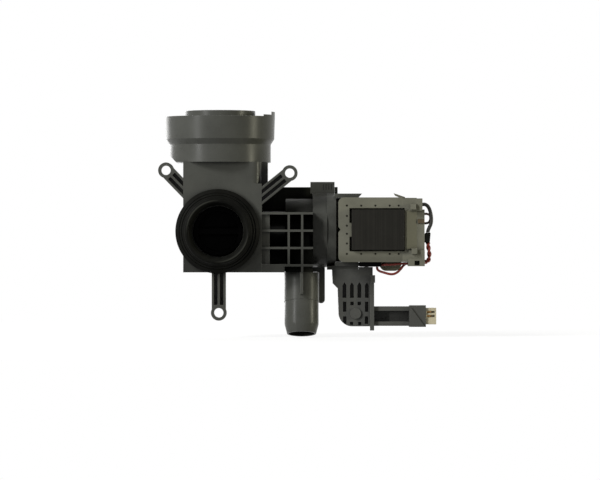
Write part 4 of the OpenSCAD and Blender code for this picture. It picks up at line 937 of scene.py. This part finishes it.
class DRAINPUMP_OT_port(Dressing, bpy.types.Operator):
    """Dresses the port sleeve and the lint filter behind it"""

    bl_idname = "drain_pump.port"
    bl_label = "Port and filter"

    def execute(self, context):
        looks, edges, _ = self.settings(context)
        softened("port_sleeve", edges.sleeve, looks)
        softened("filter_cap", edges.housing, looks)
        softened("filter_basket", edges.fine, looks)
        softened("filter_seal_ring", edges.fine, looks)
        return {"FINISHED"}


class DRAINPUMP_OT_pump_casing(Dressing, bpy.types.Operator):
    """Dresses the suction duct, the chamber, the ribs, the motor ring and the outlet spigot"""

    bl_idname = "drain_pump.pump_casing"
    bl_label = "Pump casing"

    def execute(self, context):
        looks, edges, _ = self.settings(context)
        softened("pump_casing", edges.housing, looks, slot="casing")
        for node in ("suction_duct", "motor_ring", "outlet_spigot"):
            softened(node, edges.housing, looks)
        # Their finish has painted shade towards the bottom
        softened("casing_ribs", edges.fine, looks, slot="housing_painted_low_shade")
        return {"FINISHED"}


class DRAINPUMP_OT_motor(Dressing, bpy.types.Operator):
    """Dresses the motor head, the core, the coil frame, the terminal cap and what is on them"""

    bl_idname = "drain_pump.motor"
    bl_label = "Motor"

    def execute(self, context):
        looks, edges, _ = self.settings(context)
        softened("motor_head", edges.housing, looks)
        softened("coil_frame", edges.pin_hole, looks, slot="coil_frame")
        for node in ("stator_core", "coil_rear_cover", "terminal_cap"):
            softened(node, edges.fine, looks)
        softened("terminal_blades", edges.fine, looks, slot="tarnished")
        softened("terminal_boot", edges.soft, looks, steps=3)
        softened("wire_clamp", edges.soft, looks, steps=3)
        return {"FINISHED"}


class DRAINPUMP_OT_coils(Dressing, bpy.types.Operator):
    """Dresses the bobbins and winds the coils on them"""

    bl_idname = "drain_pump.coils"
    bl_label = "Coils"

    def execute(self, context):
        looks, edges, _ = self.settings(context)
        for side in ("upper", "lower"):
            softened(f"{side}_bobbin", edges.slender, looks)
            wound_coil(f"{side}_winding", looks)
        return {"FINISHED"}


class DRAINPUMP_OT_rotor(Dressing, bpy.types.Operator):
    """Dresses the impeller, the rotor, its bearings and its seals"""

    bl_idname = "drain_pump.rotor"
    bl_label = "Rotor and impeller"

    def execute(self, context):
        looks, edges, _ = self.settings(context)
        for node in ("impeller", "impeller_cap", "drive_dog", "rotor_shaft", "rotor_magnet", "front_bearing",
                     "rear_bearing", "shaft_seal", "thrust_washer", "head_seal_ring"):
            softened(node, edges.rotor, looks)
        return {"FINISHED"}


class DRAINPUMP_OT_bracket(Dressing, bpy.types.Operator):
    """Dresses the harness bracket, the lead connector and its pins"""

    bl_idname = "drain_pump.bracket"
    bl_label = "Bracket and connector"

    def execute(self, context):
        looks, edges, _ = self.settings(context)
        softened("harness_bracket", edges.fine, looks, slot="bracket")
        softened("connector_housing", edges.fine, looks)
        softened("connector_pins", edges.slender, looks)
        return {"FINISHED"}


OPERATORS = (
    DRAINPUMP_OT_stage,
    DRAINPUMP_OT_leads,
    DRAINPUMP_OT_filter_housing,
    DRAINPUMP_OT_port,
    DRAINPUMP_OT_pump_casing,
    DRAINPUMP_OT_motor,
    DRAINPUMP_OT_coils,
    DRAINPUMP_OT_rotor,
    DRAINPUMP_OT_bracket,
)


class DRAINPUMP_PT_dressing(bpy.types.Panel):
    """Lists the steps and the settings that they read"""

    bl_idname = "DRAINPUMP_PT_dressing"
    bl_label = "Drain pump"
    bl_space_type = "VIEW_3D"
    bl_region_type = "UI"
    bl_category = "Drain pump"

    def draw(self, context):
        steps = self.layout.column(align=True)
        for operator in OPERATORS:
            steps.operator(operator.bl_idname)
        for group in Dressing.settings(context):
            values = self.layout.column(align=True)
            for field in group.__annotations__:
                values.prop(group, field)


SETTINGS = {
    "drain_pump_finishes": PumpFinishes,
    "drain_pump_edges": PumpEdges,
    "drain_pump_stage": PumpStage,
}


def register():
    """Adds the settings, the operators and the panel."""
    for name, group in SETTINGS.items():
        bpy.utils.register_class(group)
        setattr(bpy.types.Scene, name, PointerProperty(type=group))
    for entry in (*OPERATORS, DRAINPUMP_PT_dressing):
        bpy.utils.register_class(entry)


def unregister():
    """Takes away what register added."""
    for entry in (DRAINPUMP_PT_dressing, *reversed(OPERATORS)):
        bpy.utils.unregister_class(entry)
    for name, group in SETTINGS.items():
        delattr(bpy.types.Scene, name)
        bpy.utils.unregister_class(group)


def main():
    """Registers and runs each step in order."""
    register()
    for operator in OPERATORS:
        step = operator.bl_idname.split(".")[1]
        getattr(bpy.ops.drain_pump, step)()


if __name__ == "__main__":
    main()
